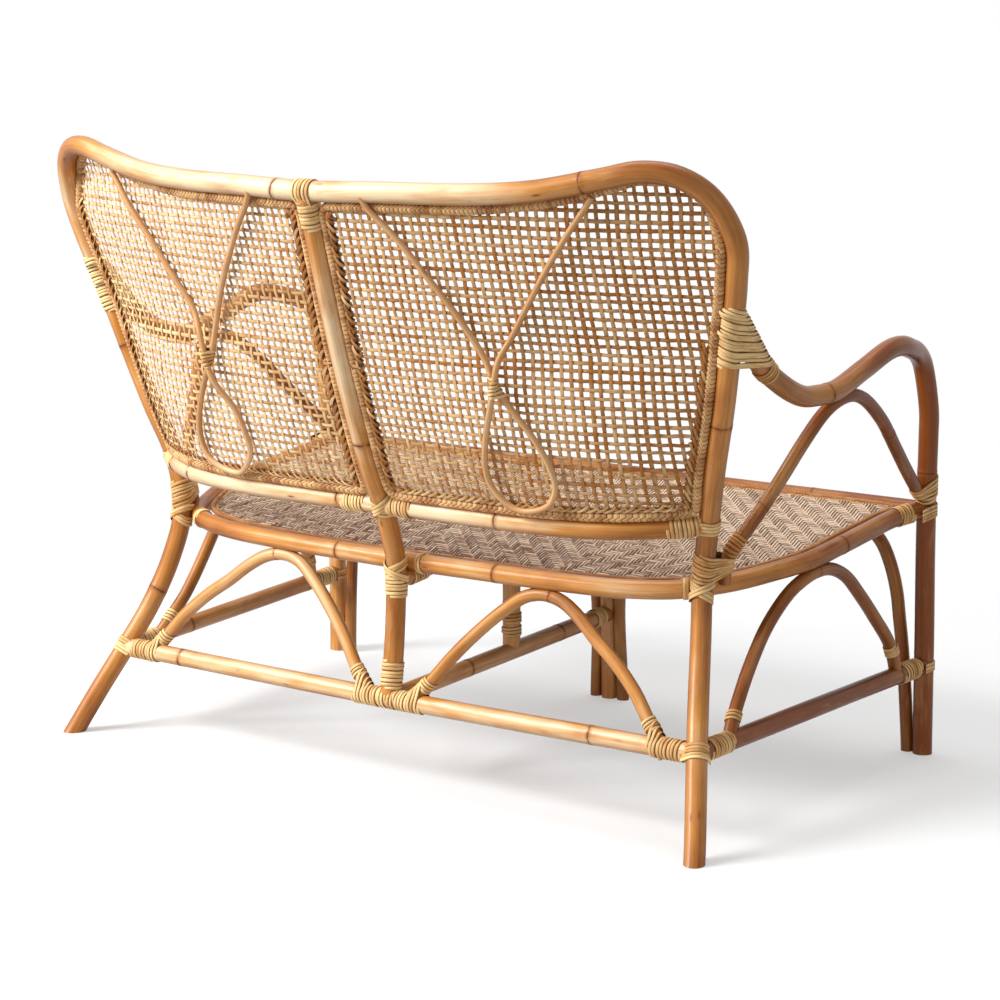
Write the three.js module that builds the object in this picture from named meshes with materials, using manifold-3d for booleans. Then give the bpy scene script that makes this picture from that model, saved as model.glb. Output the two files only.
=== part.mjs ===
import * as THREE from 'three';
import { mergeVertices, toCreasedNormals } from 'three/addons/utils/BufferGeometryUtils.js';
import Module from 'manifold-3d';

const wasm = await Module();
wasm.setup();

// Rattan garden sofa. Millimetres, +Z up, the front faces -Y and X runs across the width.
// Overall sizes are between the poles' centre lines; every share below is of one of them.
const frame_width = 1160;
const frame_depth = 748;
const frame_height = 904;

// Poles, by what they carry.
const hoop_diameter = 30;
const arm_diameter = 30;
const post_diameter = 30;
const seat_hoop_diameter = 27.5;
const back_rail_diameter = 27.5;
const front_rail_diameter = 27.5;
const stretcher_diameter = 27.5;
const crossbar_diameter = 27;
const front_post_diameter = 27;
const short_post_diameter = 28;
const arch_diameter = 19.5;
const front_arch_diameter = 20.5;
const loop_diameter = 9;
const back_rope_diameter = 11;
const seat_rope_diameter = 10;

// Woven panels and the split cane of the bindings.
const back_panel_thickness = 4;
const seat_panel_thickness = 4;
const seat_panel_rise = 4;
const weave_bulge = 1.6;
const cane_width = 5.4;
const cane_thickness = 1.5;
const cane_gap = 1.4;

// Fits.
const clearance = 0.3;
const notch_depth = 3;
const corner_softening = 26;
const outline_spacing = 3;
const weld = 0.0001;

// Facets.
const pole_sides = 10;
const thin_pole_sides = 8;
const rope_sides = 6;
const turn_steps = 8;

const half_width = frame_width / 2;

// A place on one side of the sofa, from shares of the width, depth and height.
function place([across, behind, up], side = 1) {
  return new THREE.Vector3(side * across * half_width, behind * frame_depth, up * frame_height);
}

function spline(points, closed = false) {
  return new THREE.CatmullRomCurve3(points, closed, 'centripetal');
}

// The point of a curve where one coordinate first passes the given value.
function where(curve, axis, value, steps = 400) {
  let last = curve.getPoint(0);
  for (let i = 1; i <= steps; i++) {
    const next = curve.getPoint(i / steps);
    if ((last[axis] - value) * (next[axis] - value) <= 0) {
      const along = (value - last[axis]) / (next[axis] - last[axis] || 1);
      return last.clone().lerp(next, along);
    }
    last = next;
  }
  return last;
}

// A copy of the end point drawn back towards its neighbour, so that a coped end has no thin lips.
function short_of(end, before, distance) {
  const back = before.clone().sub(end).normalize();
  return end.clone().addScaledVector(back, distance);
}

function round_outline(radius, sides) {
  const outline = new THREE.Shape();
  for (let i = 0; i < sides; i++) {
    const angle = (2 * Math.PI * i) / sides;
    const across = radius * Math.cos(angle);
    const up = radius * Math.sin(angle);
    if (i === 0) {
      outline.moveTo(across, up);
    } else {
      outline.lineTo(across, up);
    }
  }
  outline.closePath();
  return outline;
}

function pole(curve, radius, steps, sides) {
  const outline = round_outline(radius, sides);
  return new THREE.ExtrudeGeometry(outline, { steps, extrudePath: curve });
}

// Booleans.
function solid(geometry) {
  const bare = geometry.clone();
  bare.deleteAttribute('normal');
  bare.deleteAttribute('uv');
  const welded = mergeVertices(bare, weld);
  return new wasm.Manifold(new wasm.Mesh({
    numProp: 3,
    vertProperties: Float32Array.from(welded.attributes.position.array),
    triVerts: Uint32Array.from(welded.index.array),
  }));
}

function geometry_of(body) {
  const mesh = body.getMesh();
  const geometry = new THREE.BufferGeometry();
  geometry.setAttribute('position', new THREE.BufferAttribute(Float32Array.from(mesh.vertProperties), 3));
  geometry.setIndex(new THREE.BufferAttribute(Uint32Array.from(mesh.triVerts), 1));
  return geometry;
}

// Each pole is kept with its curve, so that a neighbour can be coped or notched round it.
const poles = {};

function make_pole(name, points, diameter, steps, sides, cut_by = []) {
  const curve = spline(points);
  const radius = diameter / 2;
  const line = curve.getSpacedPoints(steps);
  poles[name] = { curve, radius, steps, sides, line, length: curve.getLength() };
  let body = solid(pole(curve, radius, steps, sides));
  for (const other of cut_by) {
    body = body.subtract(typeof other === 'string' ? swollen(other) : other);
  }
  poles[name].geometry = geometry_of(body);
  return curve;
}

// A pole with its clearance all round it and past both ends.
function swollen(name) {
  const { curve, radius, steps, sides } = poles[name];
  const geometry = pole(curve, radius + clearance, steps, sides);
  const corners = geometry.attributes.position;
  for (const [end, way] of [[0, -1], [1, 1]]) {
    const tip = curve.getPoint(end);
    const tangent = curve.getTangent(end);
    for (let i = 0; i < corners.count; i++) {
      const corner = new THREE.Vector3().fromBufferAttribute(corners, i);
      const reach = corner.clone().sub(tip);
      if (reach.length() < 2 * radius && Math.abs(reach.dot(tangent)) < clearance / 4) {
        corner.addScaledVector(tangent, way * clearance);
        corners.setXYZ(i, corner.x, corner.y, corner.z);
      }
    }
  }
  return solid(geometry);
}

// The ground, which trims every foot flat.
const ground_box = new THREE.BoxGeometry(2 * frame_width, 4 * frame_depth, frame_height);
ground_box.translate(0, 0, -frame_height / 2);
const ground = solid(ground_box);

// Back hoop: one bent pole, foot to foot over the back. Shares of width, depth and height.
const hoop_shares = [
  [0.979, 0.889, -0.03],
  [0.966, 0.865, 0],
  [0.929, 0.815, 0.072],
  [0.892, 0.767, 0.139],
  [0.856, 0.718, 0.21],
  [0.828, 0.677, 0.288],
  [0.812, 0.653, 0.368],
  [0.829, 0.658, 0.459],
  [0.869, 0.69, 0.553],
  [0.913, 0.718, 0.653],
  [0.95, 0.747, 0.749],
  [0.986, 0.778, 0.841],
  [0.999, 0.8, 0.901],
  [0.966, 0.839, 0.962],
  [0.907, 0.872, 0.993],
  [0.832, 0.898, 1],
  [0.741, 0.916, 0.987],
  [0.586, 0.943, 0.966],
  [0.431, 0.967, 0.958],
  [0.207, 0.992, 0.956],
];
const hoop_top_shares = [0, 1, 0.953];
const hoop_left = hoop_shares.map((share) => place(share));
const hoop_right = hoop_shares.map((share) => place(share, -1)).reverse();
const hoop_points = [...hoop_left, place(hoop_top_shares), ...hoop_right];
make_pole('back_hoop', hoop_points, hoop_diameter, 48, pole_sides, [ground]);

// One side of the hoop, foot to top centre, to find where its neighbours meet it.
const hoop_side = spline([...hoop_left, place(hoop_top_shares)]);

function on_hoop(height, side) {
  const point = where(hoop_side, 'z', height);
  point.x *= side;
  return point;
}

// Rear stretcher, between the hoop's two legs.
const stretcher_share = 0.139;
const rear_stretcher_height = stretcher_share * frame_height;
const stretcher_sag_share = 0.004;
const rear_joint = on_hoop(rear_stretcher_height, 1);
const stretcher_dip = stretcher_sag_share * frame_height;

function mirrored(point) {
  return new THREE.Vector3(-point.x, point.y, point.z);
}

const rear_centre = new THREE.Vector3(0, rear_joint.y, rear_joint.z - stretcher_dip);
const rear_reach = rear_joint.clone();
rear_reach.x -= hoop_diameter / 4;
make_pole('rear_stretcher', [rear_reach, rear_centre, mirrored(rear_reach)],
  stretcher_diameter, 6, pole_sides, ['back_hoop']);

// Arms: each arm and its front leg are one pole, from the hoop forward and down to the floor.
const arm_shares = [
  [0.957, 0.742, 0.769],
  [0.964, 0.707, 0.739],
  [0.971, 0.627, 0.689],
  [0.979, 0.536, 0.654],
  [0.986, 0.487, 0.65],
  [0.997, 0.437, 0.653],
  [1.003, 0.341, 0.675],
  [1.01, 0.245, 0.699],
  [1.01, 0.195, 0.7],
  [1, 0.146, 0.691],
  [0.988, 0.1, 0.68],
  [0.981, 0.063, 0.657],
  [0.981, 0.031, 0.579],
  [0.978, 0.025, 0.538],
  [0.974, 0.02, 0.465],
  [0.97, 0.013, 0.413],
  [0.966, 0.005, 0.33],
  [0.966, -0.001, 0.2],
  [0.968, -0.004, 0],
  [0.969, -0.004, -0.03],
];
const arm_joint_height = arm_shares[0][2] * frame_height;

function arm_points(side) {
  const points = arm_shares.map((share) => place(share, side));
  points[0] = short_of(on_hoop(arm_joint_height, side), points[1], hoop_diameter / 4);
  return points;
}

const sides_of_sofa = { left: 1, right: -1 };
for (const [word, side] of Object.entries(sides_of_sofa)) {
  make_pole(`arm_${word}`, arm_points(side), arm_diameter, 25, pole_sides, ['back_hoop', ground]);
}

function on_arm(height, side) {
  const { curve } = poles[side > 0 ? 'arm_left' : 'arm_right'];
  const steps = 400;
  let found = curve.getPoint(1);
  for (let i = steps; i >= 0; i--) {
    const point = curve.getPoint(i / steps);
    if (point.z >= height) {
      found = point;
      break;
    }
  }
  return found;
}

// Side stretchers, from the hoop's legs forward to the arm poles.
const side_stretcher_rise_share = 0.006;
for (const [word, side] of Object.entries(sides_of_sofa)) {
  const rear = mirrored(rear_joint);
  rear.x = side * rear_joint.x;
  const front = on_arm(rear_stretcher_height + side_stretcher_rise_share * frame_height, side);
  const rear_end = short_of(rear, front, hoop_diameter / 4);
  const front_end = short_of(front, rear, arm_diameter / 4);
  make_pole(`side_stretcher_${word}`, [rear_end, front_end], stretcher_diameter, 2, pole_sides,
    ['back_hoop', `arm_${word}`, 'rear_stretcher']);
}

// Front rail under the seat's front edge, between the arm poles.
const seat_front_share = 0.409;
const front_rail_height = seat_front_share * frame_height;
const front_rail_joint = on_arm(front_rail_height, 1);
const front_rail_end = front_rail_joint.clone();
front_rail_end.x -= arm_diameter / 4;
make_pole('front_rail', [front_rail_end, mirrored(front_rail_end)],
  front_rail_diameter, 2, pole_sides, ['arm_left', 'arm_right']);

// Front post, floor to front rail, and the middle stretcher that runs back from it.
const front_post_top = front_rail_joint.clone().setX(0);
front_post_top.z = front_rail_height - front_rail_diameter / 4;
const front_post_lean_share = 0.02;
const front_post_foot = front_post_top.clone();
front_post_foot.z = -front_post_diameter;
front_post_foot.y -= front_post_lean_share * frame_depth;
make_pole('front_post', [front_post_foot, front_post_top], front_post_diameter, 2, pole_sides,
  ['front_rail', ground]);

const middle_front_share = 0.155;
const middle_front = where(poles.front_post.curve, 'z', middle_front_share * frame_height);
const middle_front_end = short_of(middle_front, rear_centre, front_post_diameter / 4);
const middle_rear_end = short_of(rear_centre, middle_front, stretcher_diameter / 4);
make_pole('middle_stretcher', [middle_rear_end, middle_front_end], stretcher_diameter, 2, pole_sides,
  ['rear_stretcher', 'front_post']);

// Centre post of the back, from the top rail down to the rear stretcher.
const post_shares = [
  [0, 0.974, 0.884],
  [0, 0.932, 0.766],
  [0, 0.89, 0.659],
  [0, 0.853, 0.577],
  [0, 0.818, 0.504],
  [0, 0.784, 0.453],
  [0, 0.762, 0.404],
  [0, 0.745, 0.355],
  [0, 0.746, 0.286],
  [0, 0.755, 0.199],
];
const post_inner = post_shares.map((share) => place(share));
const post_top = short_of(place(hoop_top_shares), post_inner[0], hoop_diameter / 4);
const post_foot = short_of(rear_centre, post_inner[post_inner.length - 1], stretcher_diameter / 4);
make_pole('centre_post', [post_top, ...post_inner, post_foot], post_diameter, 13, pole_sides,
  ['back_hoop', 'rear_stretcher', 'middle_stretcher']);
const post_curve = poles.centre_post.curve;

function on_post(height) {
  return where(post_curve, 'z', height);
}

// The back's own surface: straight down the post, and curving forward to the hoop at both sides.
// It is squarer low down, where the back is bent round sharply, and a plain bow at the top.
const bow_low = 5.5;
const bow_high = 2;
const bow_low_share = 0.455;
const bow_high_share = 0.72;
const top_slope = 0.3;
const hoop_samples = hoop_side.getPoints(600);
const widest = hoop_samples.reduce((far, point) => (point.x > far.x ? point : far));
const lower_side = hoop_samples.slice(0, hoop_samples.indexOf(widest) + 1);
const post_samples = post_curve.getPoints(300).reverse();

function sample(points, height) {
  const last = points.length - 1;
  for (let i = 0; i < last; i++) {
    if (points[i + 1].z >= height) {
      const span = points[i + 1].z - points[i].z;
      const along = THREE.MathUtils.clamp((height - points[i].z) / span, 0, 1);
      return points[i].clone().lerp(points[i + 1], along);
    }
  }
  return points[last].clone();
}

function back_depth(across, height) {
  const edge = sample(lower_side, height);
  const middle = sample(post_samples, height);
  const above = Math.max(0, height - middle.z);
  const low = bow_low_share * frame_height;
  const high = bow_high_share * frame_height;
  const rise = THREE.MathUtils.clamp((height - low) / (high - low), 0, 1);
  const bow = THREE.MathUtils.lerp(bow_low, bow_high, rise);
  const forward = (middle.y - edge.y) * (Math.abs(across) / edge.x) ** bow;
  return middle.y + top_slope * above - forward;
}

function on_back(across, height) {
  return new THREE.Vector3(across, back_depth(across, height), height);
}

// The back surface's direction to the rear, found from two short steps on it.
function back_direction(across, height) {
  const step = outline_spacing;
  const here = on_back(across, height);
  const sideways = on_back(across + step, height).sub(here);
  const upward = on_back(across, height + step).sub(here);
  return upward.cross(sideways).normalize();
}

// Lower back rails, one on each side of the post, bowed forward to the hoop's legs.
const rail_end_share = 0.465;
const rail_mid_share = 0.452;
const rail_across_shares = [0.13, 0.35, 0.55, 0.7, 0.8, 0.87, 0.93];

function rail_height(share) {
  const bend = share ** bow_low;
  return THREE.MathUtils.lerp(rail_mid_share, rail_end_share, bend) * frame_height;
}

const rail_leg = on_hoop(rail_end_share * frame_height, 1);
for (const [word, side] of Object.entries(sides_of_sofa)) {
  const inner = rail_across_shares.map((share) => on_back(side * share * rail_leg.x, rail_height(share)));
  const leg = on_hoop(rail_end_share * frame_height, side);
  const centre = on_post(rail_mid_share * frame_height);
  const start = short_of(centre, inner[0], post_diameter / 4);
  const end = short_of(leg, inner[inner.length - 1], hoop_diameter / 4);
  make_pole(`back_rail_${word}`, [start, ...inner, end], back_rail_diameter, 13, pole_sides,
    ['centre_post', 'back_hoop']);
}

// Seat hoop: one pole round the back and sides of the seat, in front of the post and inside the
// hoop's legs, against which it is lightly notched, and forward to the arm poles.
const seat_rear_shares = [
  [0.207, 0.002, 0.3515],
  [0.414, 0.009, 0.3515],
  [0.586, 0.022, 0.3525],
  [0.69, 0.042, 0.355],
  [0.74, 0.06, 0.357],
];
const seat_side_shares = [
  [0.833, 0.568, 0.3645],
  [0.877, 0.488, 0.3716],
  [0.912, 0.408, 0.3791],
  [0.923, 0.301, 0.3889],
  [0.927, 0.194, 0.3985],
  [0.935, 0.087, 0.408],
];
const seat_rear_height_share = 0.351;
const seat_leg_height_share = 0.361;
const seat_leg_turn_share = 0.82;
const seat_rear_centre = on_post(seat_rear_height_share * frame_height);
seat_rear_centre.y -= (post_diameter + seat_hoop_diameter) / 2 - notch_depth;

// The rear run is measured forward from its middle, and so keeps its place against the post.
function seat_rear_point([across, forward, up], side) {
  const point = place([across, -forward, up], side);
  point.y += seat_rear_centre.y;
  return point;
}

function seat_leg_point(side) {
  const point = on_hoop(seat_leg_height_share * frame_height, side);
  const reach = (hoop_diameter + seat_hoop_diameter) / 2 - notch_depth;
  point.x -= side * reach * Math.sin((seat_leg_turn_share * Math.PI) / 4);
  point.y -= reach * Math.cos((seat_leg_turn_share * Math.PI) / 4);
  return point;
}

function seat_half(side) {
  const rear = seat_rear_shares.map((share) => seat_rear_point(share, side));
  const flank = seat_side_shares.map((share) => place(share, side));
  const front = on_arm(seat_front_share * frame_height, side);
  front.z += notch_depth;
  const end = short_of(front, flank[flank.length - 1], arm_diameter / 4);
  return [...rear, seat_leg_point(side), ...flank, end];
}

const seat_points = [...seat_half(1).reverse(), seat_rear_centre, ...seat_half(-1)];
make_pole('seat_hoop', seat_points, seat_hoop_diameter, 38, pole_sides,
  ['centre_post', 'back_hoop', 'arm_left', 'arm_right', 'front_rail']);
const seat_curve = poles.seat_hoop.curve;

// The seat's level, read off the hoop's side at a distance behind the front legs.
const seat_side_samples = seat_curve.getPoints(400).filter((point) => point.x > 0);

function seat_level(behind) {
  let near = seat_side_samples[0];
  for (const point of seat_side_samples) {
    if (Math.abs(point.y - behind) < Math.abs(near.y - behind)) {
      near = point;
    }
  }
  return near;
}

// Crossbar under the seat, from the post forward to the front post, and a short post below it.
const crossbar_drop = (seat_hoop_diameter + crossbar_diameter) / 2 - notch_depth;
const crossbar_rear = on_post(seat_rear_centre.z - crossbar_drop);
const crossbar_front = where(poles.front_post.curve, 'z',
  front_rail_height - (front_rail_diameter + crossbar_diameter) / 2);
make_pole('seat_crossbar', [
  short_of(crossbar_rear, crossbar_front, post_diameter / 4),
  short_of(crossbar_front, crossbar_rear, front_post_diameter / 4),
], crossbar_diameter, 2, pole_sides, ['centre_post', 'front_post', 'seat_hoop', 'front_rail']);

const short_post_share = 0.362;
const short_post_low = where(poles.middle_stretcher.curve, 'y', short_post_share * frame_depth);
const short_post_high = where(poles.seat_crossbar.curve, 'y', short_post_share * frame_depth);
make_pole('short_post', [
  short_of(short_post_low, short_post_high, stretcher_diameter / 4),
  short_of(short_post_high, short_post_low, crossbar_diameter / 4),
], short_post_diameter, 2, pole_sides, ['middle_stretcher', 'seat_crossbar']);

// Bent arches of thin rattan.
// Rear arches stand on the rear stretcher, each foot at its own distance from the middle or the leg,
// and rise to the underside of the seat hoop: shares of the way between the feet and of the rise.
const rear_arch_shares = [
  [0, 0],
  [0.068, 0.17],
  [0.149, 0.42],
  [0.233, 0.64],
  [0.318, 0.83],
  [0.393, 0.96],
  [0.465, 1],
  [0.539, 0.97],
  [0.614, 0.87],
  [0.692, 0.72],
  [0.779, 0.57],
  [0.864, 0.385],
  [0.939, 0.17],
  [1, 0],
];
const rear_arch_top_share = 0.415;
const rear_arch_from_middle = 36;
const rear_arch_from_leg = 46;

function rear_arch_points(side) {
  const leg = Math.abs(poles.rear_stretcher.curve.getPoint(0).x);
  const inner = rear_arch_from_middle;
  const outer = leg - rear_arch_from_leg;
  const top_x = side * THREE.MathUtils.lerp(inner, outer, rear_arch_top_share);
  const above = where(seat_curve, 'x', top_x);
  const top = above.z - (seat_hoop_diameter + arch_diameter) / 2 + notch_depth;
  const low = where(poles.rear_stretcher.curve, 'x', top_x);
  return rear_arch_shares.map(([across, up]) => new THREE.Vector3(
    side * THREE.MathUtils.lerp(inner, outer, across),
    THREE.MathUtils.lerp(low.y, above.y, up),
    THREE.MathUtils.lerp(low.z, top, up),
  ));
}

// Side arches stand on the side stretchers and rise to the underside of the seat hoop.
const side_arch_shares = [
  [0.172, 0],
  [0.18, 0.17],
  [0.255, 0.46],
  [0.33, 0.72],
  [0.405, 0.915],
  [0.46, 0.985],
  [0.52, 1],
  [0.585, 0.965],
  [0.655, 0.86],
  [0.725, 0.68],
  [0.79, 0.48],
  [0.86, 0.22],
  [0.875, 0],
];

function side_arch_points(side, word) {
  const bar = poles[`side_stretcher_${word}`].curve;
  const rear = bar.getPoint(0);
  const front = bar.getPoint(1);
  return side_arch_shares.map(([along, up]) => {
    const low = rear.clone().lerp(front, along);
    const rail = seat_level(low.y);
    const top = rail.z - (seat_hoop_diameter + arch_diameter) / 2 + notch_depth;
    const across = THREE.MathUtils.lerp(Math.abs(low.x), rail.x, up);
    return new THREE.Vector3(side * across, low.y, THREE.MathUtils.lerp(low.z, top, up));
  });
}

// Arm arches spring from beside the rear leg, rise to the underside of the arm and drop to the
// front corner of the seat hoop. Rows: across, behind, and height from seat to arm.
const arm_arch_shares = [
  [0.828, 0.601, -0.04],
  [0.838, 0.604, 0.09],
  [0.848, 0.602, 0.158],
  [0.864, 0.586, 0.232],
  [0.897, 0.556, 0.4],
  [0.922, 0.519, 0.571],
  [0.949, 0.483, 0.755],
  [0.975, 0.446, 0.915],
  [0.988, 0.418, 0.975],
  [0.997, 0.38, 1],
  [0.998, 0.33, 0.965],
  [0.994, 0.25, 0.81],
  [0.984, 0.174, 0.604],
  [0.975, 0.116, 0.448],
  [0.968, 0.06, 0.303],
  [0.965, 0.03, 0.235],
];
const arm_arch_top_share = 0.385;
const arm_arch_foot = seat_level(seat_side_shares[0][1] * frame_depth);

function arm_arch_points(side, word) {
  const arm_above = poles[`arm_${word}`].curve.getPoints(400)
    .reduce((near, point) => {
      const target = arm_arch_top_share * frame_depth;
      return Math.abs(point.y - target) < Math.abs(near.y - target) ? point : near;
    });
  const top = arm_above.z - (arm_diameter + arch_diameter) / 2 + notch_depth;
  const low = arm_arch_foot.z + (seat_hoop_diameter + arch_diameter) / 4;
  return arm_arch_shares.map(([across, behind, up]) => {
    const point = place([across, behind, 0], side);
    point.z = THREE.MathUtils.lerp(low, top, up);
    return point;
  });
}

for (const [word, side] of Object.entries(sides_of_sofa)) {
  make_pole(`rear_arch_${word}`, rear_arch_points(side), arch_diameter, 15, thin_pole_sides,
    ['rear_stretcher', 'seat_hoop', 'back_hoop', 'centre_post']);
  make_pole(`side_arch_${word}`, side_arch_points(side, word), arch_diameter, 15, thin_pole_sides,
    [`side_stretcher_${word}`, 'seat_hoop', 'back_hoop', `arm_${word}`]);
  make_pole(`arm_arch_${word}`, arm_arch_points(side, word), arch_diameter, 17, thin_pole_sides,
    ['back_hoop', `arm_${word}`, 'seat_hoop']);
}

// Front arches: an inverted U on each side of the front post, standing on the floor, its flat top
// run against the underside of the front rail.
// Each bend keeps its own size: distances from the outer foot and from the inner upright, with the
// share of the rise. The flat top between the bends takes up the rest.
const front_arch_outer_bend = [
  [0, -0.03],
  [0, 0],
  [4, 0.225],
  [9.8, 0.445],
  [15, 0.578],
  [20.8, 0.708],
  [32.4, 0.826],
  [47.5, 0.912],
  [71.8, 0.972],
  [106.6, 1],
];
const front_arch_inner_bend = [
  [81.2, 1],
  [46.4, 0.972],
  [22, 0.912],
  [7, 0.82],
  [0, 0.7],
];
const front_arch_flat_steps = 4;
const front_arch_inner_gap = 8.25;
const front_arch_splay = 2;
const front_post_band_share = 0.162;

function front_arch_points(side, word) {
  const top = front_rail_height - (front_rail_diameter + front_arch_diameter) / 2 + notch_depth;
  const beside = (front_post_diameter + front_arch_diameter) / 2 - notch_depth;
  const leg = where(poles[`arm_${word}`].curve, 'z', 0);
  const outer_foot = Math.abs(leg.x) - (arm_diameter + front_arch_diameter) / 2 - clearance;
  const upright = beside + front_arch_inner_gap;
  const outer = front_arch_outer_bend.map(([in_from_foot, up]) => [outer_foot - in_from_foot, up]);
  const inner = front_arch_inner_bend.map(([out_from_post, up]) => [upright + out_from_post, up]);
  const flat = [];
  for (let i = 1; i < front_arch_flat_steps; i++) {
    const [from, to] = [outer[outer.length - 1][0], inner[0][0]];
    flat.push([THREE.MathUtils.lerp(from, to, i / front_arch_flat_steps), 1]);
  }
  const bent = [...outer, ...flat, ...inner].map(([x, up]) => {
    const foot = where(poles.front_post.curve, 'z', Math.max(0, up * top));
    return new THREE.Vector3(side * x, foot.y, up * top);
  });
  const inner_low = where(poles.front_post.curve, 'z', 0);
  const bound = front_post_band_share * frame_height;
  const tied = new THREE.Vector3(side * beside, where(poles.front_post.curve, 'z', bound).y, bound);
  const foot = new THREE.Vector3(side * (beside + notch_depth + front_arch_splay), inner_low.y, 0);
  const under = foot.clone();
  under.z = -front_arch_diameter;
  return [...bent, tied, foot, under];
}

for (const [word, side] of Object.entries(sides_of_sofa)) {
  make_pole(`front_arch_${word}`, front_arch_points(side, word), front_arch_diameter, 24, thin_pole_sides,
    ['front_rail', 'front_post', 'middle_stretcher', `arm_${word}`, ground]);
}

// Room a binding takes outside its pole, with the corners its straight steps stand out by.
function bound_room(radius) {
  return lying_radius(radius) - radius + cane_thickness + clearance;
}

// Closed outline inside a frame: every frame pole is stepped inward over the surface, only what
// clears all the poles is kept, and the corners are rounded by a running mean.
function inner_outline(borders, surface, normal, rope_radius) {
  const kept = [];
  const centre = new THREE.Vector3();
  for (const border of borders) {
    border.room = border.radius + border.gap + rope_radius;
    border.samples = border.curve.getSpacedPoints(border.count);
    for (const point of border.samples) {
      centre.addScaledVector(point, 1 / border.samples.length / borders.length);
    }
  }
  for (const border of borders) {
    const inward = border.samples.map((point, i) => {
      const before = border.samples[Math.max(0, i - 1)];
      const after = border.samples[Math.min(border.samples.length - 1, i + 1)];
      return normal(point).cross(after.clone().sub(before)).normalize();
    });
    const towards = inward.reduce((sum, way, i) => sum + way.dot(centre.clone().sub(border.samples[i])), 0);
    border.samples.forEach((point, i) => {
      const moved = surface(point.clone().addScaledVector(inward[i], Math.sign(towards) * border.room));
      const clear = borders.every((other) => other.samples.every(
        (sampled) => sampled.distanceTo(moved) > other.room - clearance));
      if (clear) {
        kept.push(moved);
      }
    });
  }
  const facing = normal(centre);
  const first = kept[0].clone().sub(centre);
  const second = facing.clone().cross(first);
  const turn = (point) => {
    const arm = point.clone().sub(centre);
    return Math.atan2(arm.dot(second.clone().normalize()), arm.dot(first.clone().normalize()));
  };
  kept.sort((a, b) => turn(a) - turn(b));
  const loop = spline(kept, true);
  loop.arcLengthDivisions = kept.length * 4;
  const length = loop.getLength();
  const count = Math.round(length / outline_spacing);
  const even = loop.getSpacedPoints(count).slice(0, count);
  const reach = Math.round(corner_softening / outline_spacing);
  const soft = even.map((point, i) => {
    const mean = new THREE.Vector3();
    for (let j = -reach; j <= reach; j++) {
      mean.add(even[(i + j + count) % count]);
    }
    return surface(mean.divideScalar(2 * reach + 1));
  });
  return spline(soft, true);
}

// A closed run of wound rod round a panel.
function closed_rod(outline, radius, steps) {
  const points = outline.getSpacedPoints(steps).slice(0, steps);
  const curve = spline(points, true);
  return new THREE.TubeGeometry(curve, steps, radius, rope_sides, true);
}

// A thin woven sheet inside the rod: rings of points from the edge to the middle, on both faces.
// Its edge lies one thickness inside the rod's centre line, and is then cut round the rod.
function sheet(outline, surface, normal, thickness, steps, rings) {
  const edge = outline.getSpacedPoints(steps).slice(0, steps);
  const centre = edge.reduce((sum, point) => sum.add(point), new THREE.Vector3()).divideScalar(steps);
  const positions = [];
  const index = [];
  for (const face of [1, -1]) {
    for (let ring = 0; ring <= rings; ring++) {
      for (let i = 0; i < steps; i++) {
        const out = edge[i].clone().sub(centre);
        const run = edge[(i + 1) % steps].clone().sub(edge[(i + steps - 1) % steps]).normalize();
        const across = out.clone().cross(run).length();
        const share = ring === rings ? 0 : (1 - ring / rings) * (1 - thickness / across);
        const point = surface(centre.clone().addScaledVector(out, share));
        point.addScaledVector(normal(point), (face * thickness) / 2);
        if (ring < rings || i === 0) {
          positions.push(point.x, point.y, point.z);
        }
      }
    }
  }
  const face_count = steps * rings + 1;
  for (const face of [0, 1]) {
    const base = face * face_count;
    for (let ring = 0; ring < rings; ring++) {
      for (let i = 0; i < steps; i++) {
        const next = (i + 1) % steps;
        const a = base + ring * steps + i;
        const b = base + ring * steps + next;
        const c = ring === rings - 1 ? base + steps * rings : a + steps;
        const d = ring === rings - 1 ? c : b + steps;
        const corners = c === d ? [[a, b, c]] : [[a, b, d], [a, d, c]];
        for (const [p, q, r] of corners) {
          index.push(...(face === 0 ? [p, q, r] : [p, r, q]));
        }
      }
    }
  }
  for (let i = 0; i < steps; i++) {
    const next = (i + 1) % steps;
    const a = i;
    const b = next;
    const c = face_count + i;
    const d = face_count + next;
    index.push(a, c, b, b, c, d);
  }
  return closed_geometry(positions, index);
}

// Index and corners as one solid, turned inside out if its faces look inward.
function closed_geometry(positions, index) {
  let volume = 0;
  const corner = (i) => new THREE.Vector3().fromArray(positions, index[i] * 3);
  for (let i = 0; i < index.length; i += 3) {
    volume += corner(i).dot(corner(i + 1).cross(corner(i + 2)));
  }
  if (volume < 0) {
    index.reverse();
  }
  const geometry = new THREE.BufferGeometry();
  geometry.setAttribute('position', new THREE.Float32BufferAttribute(positions, 3));
  geometry.setIndex(index);
  return geometry;
}

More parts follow.
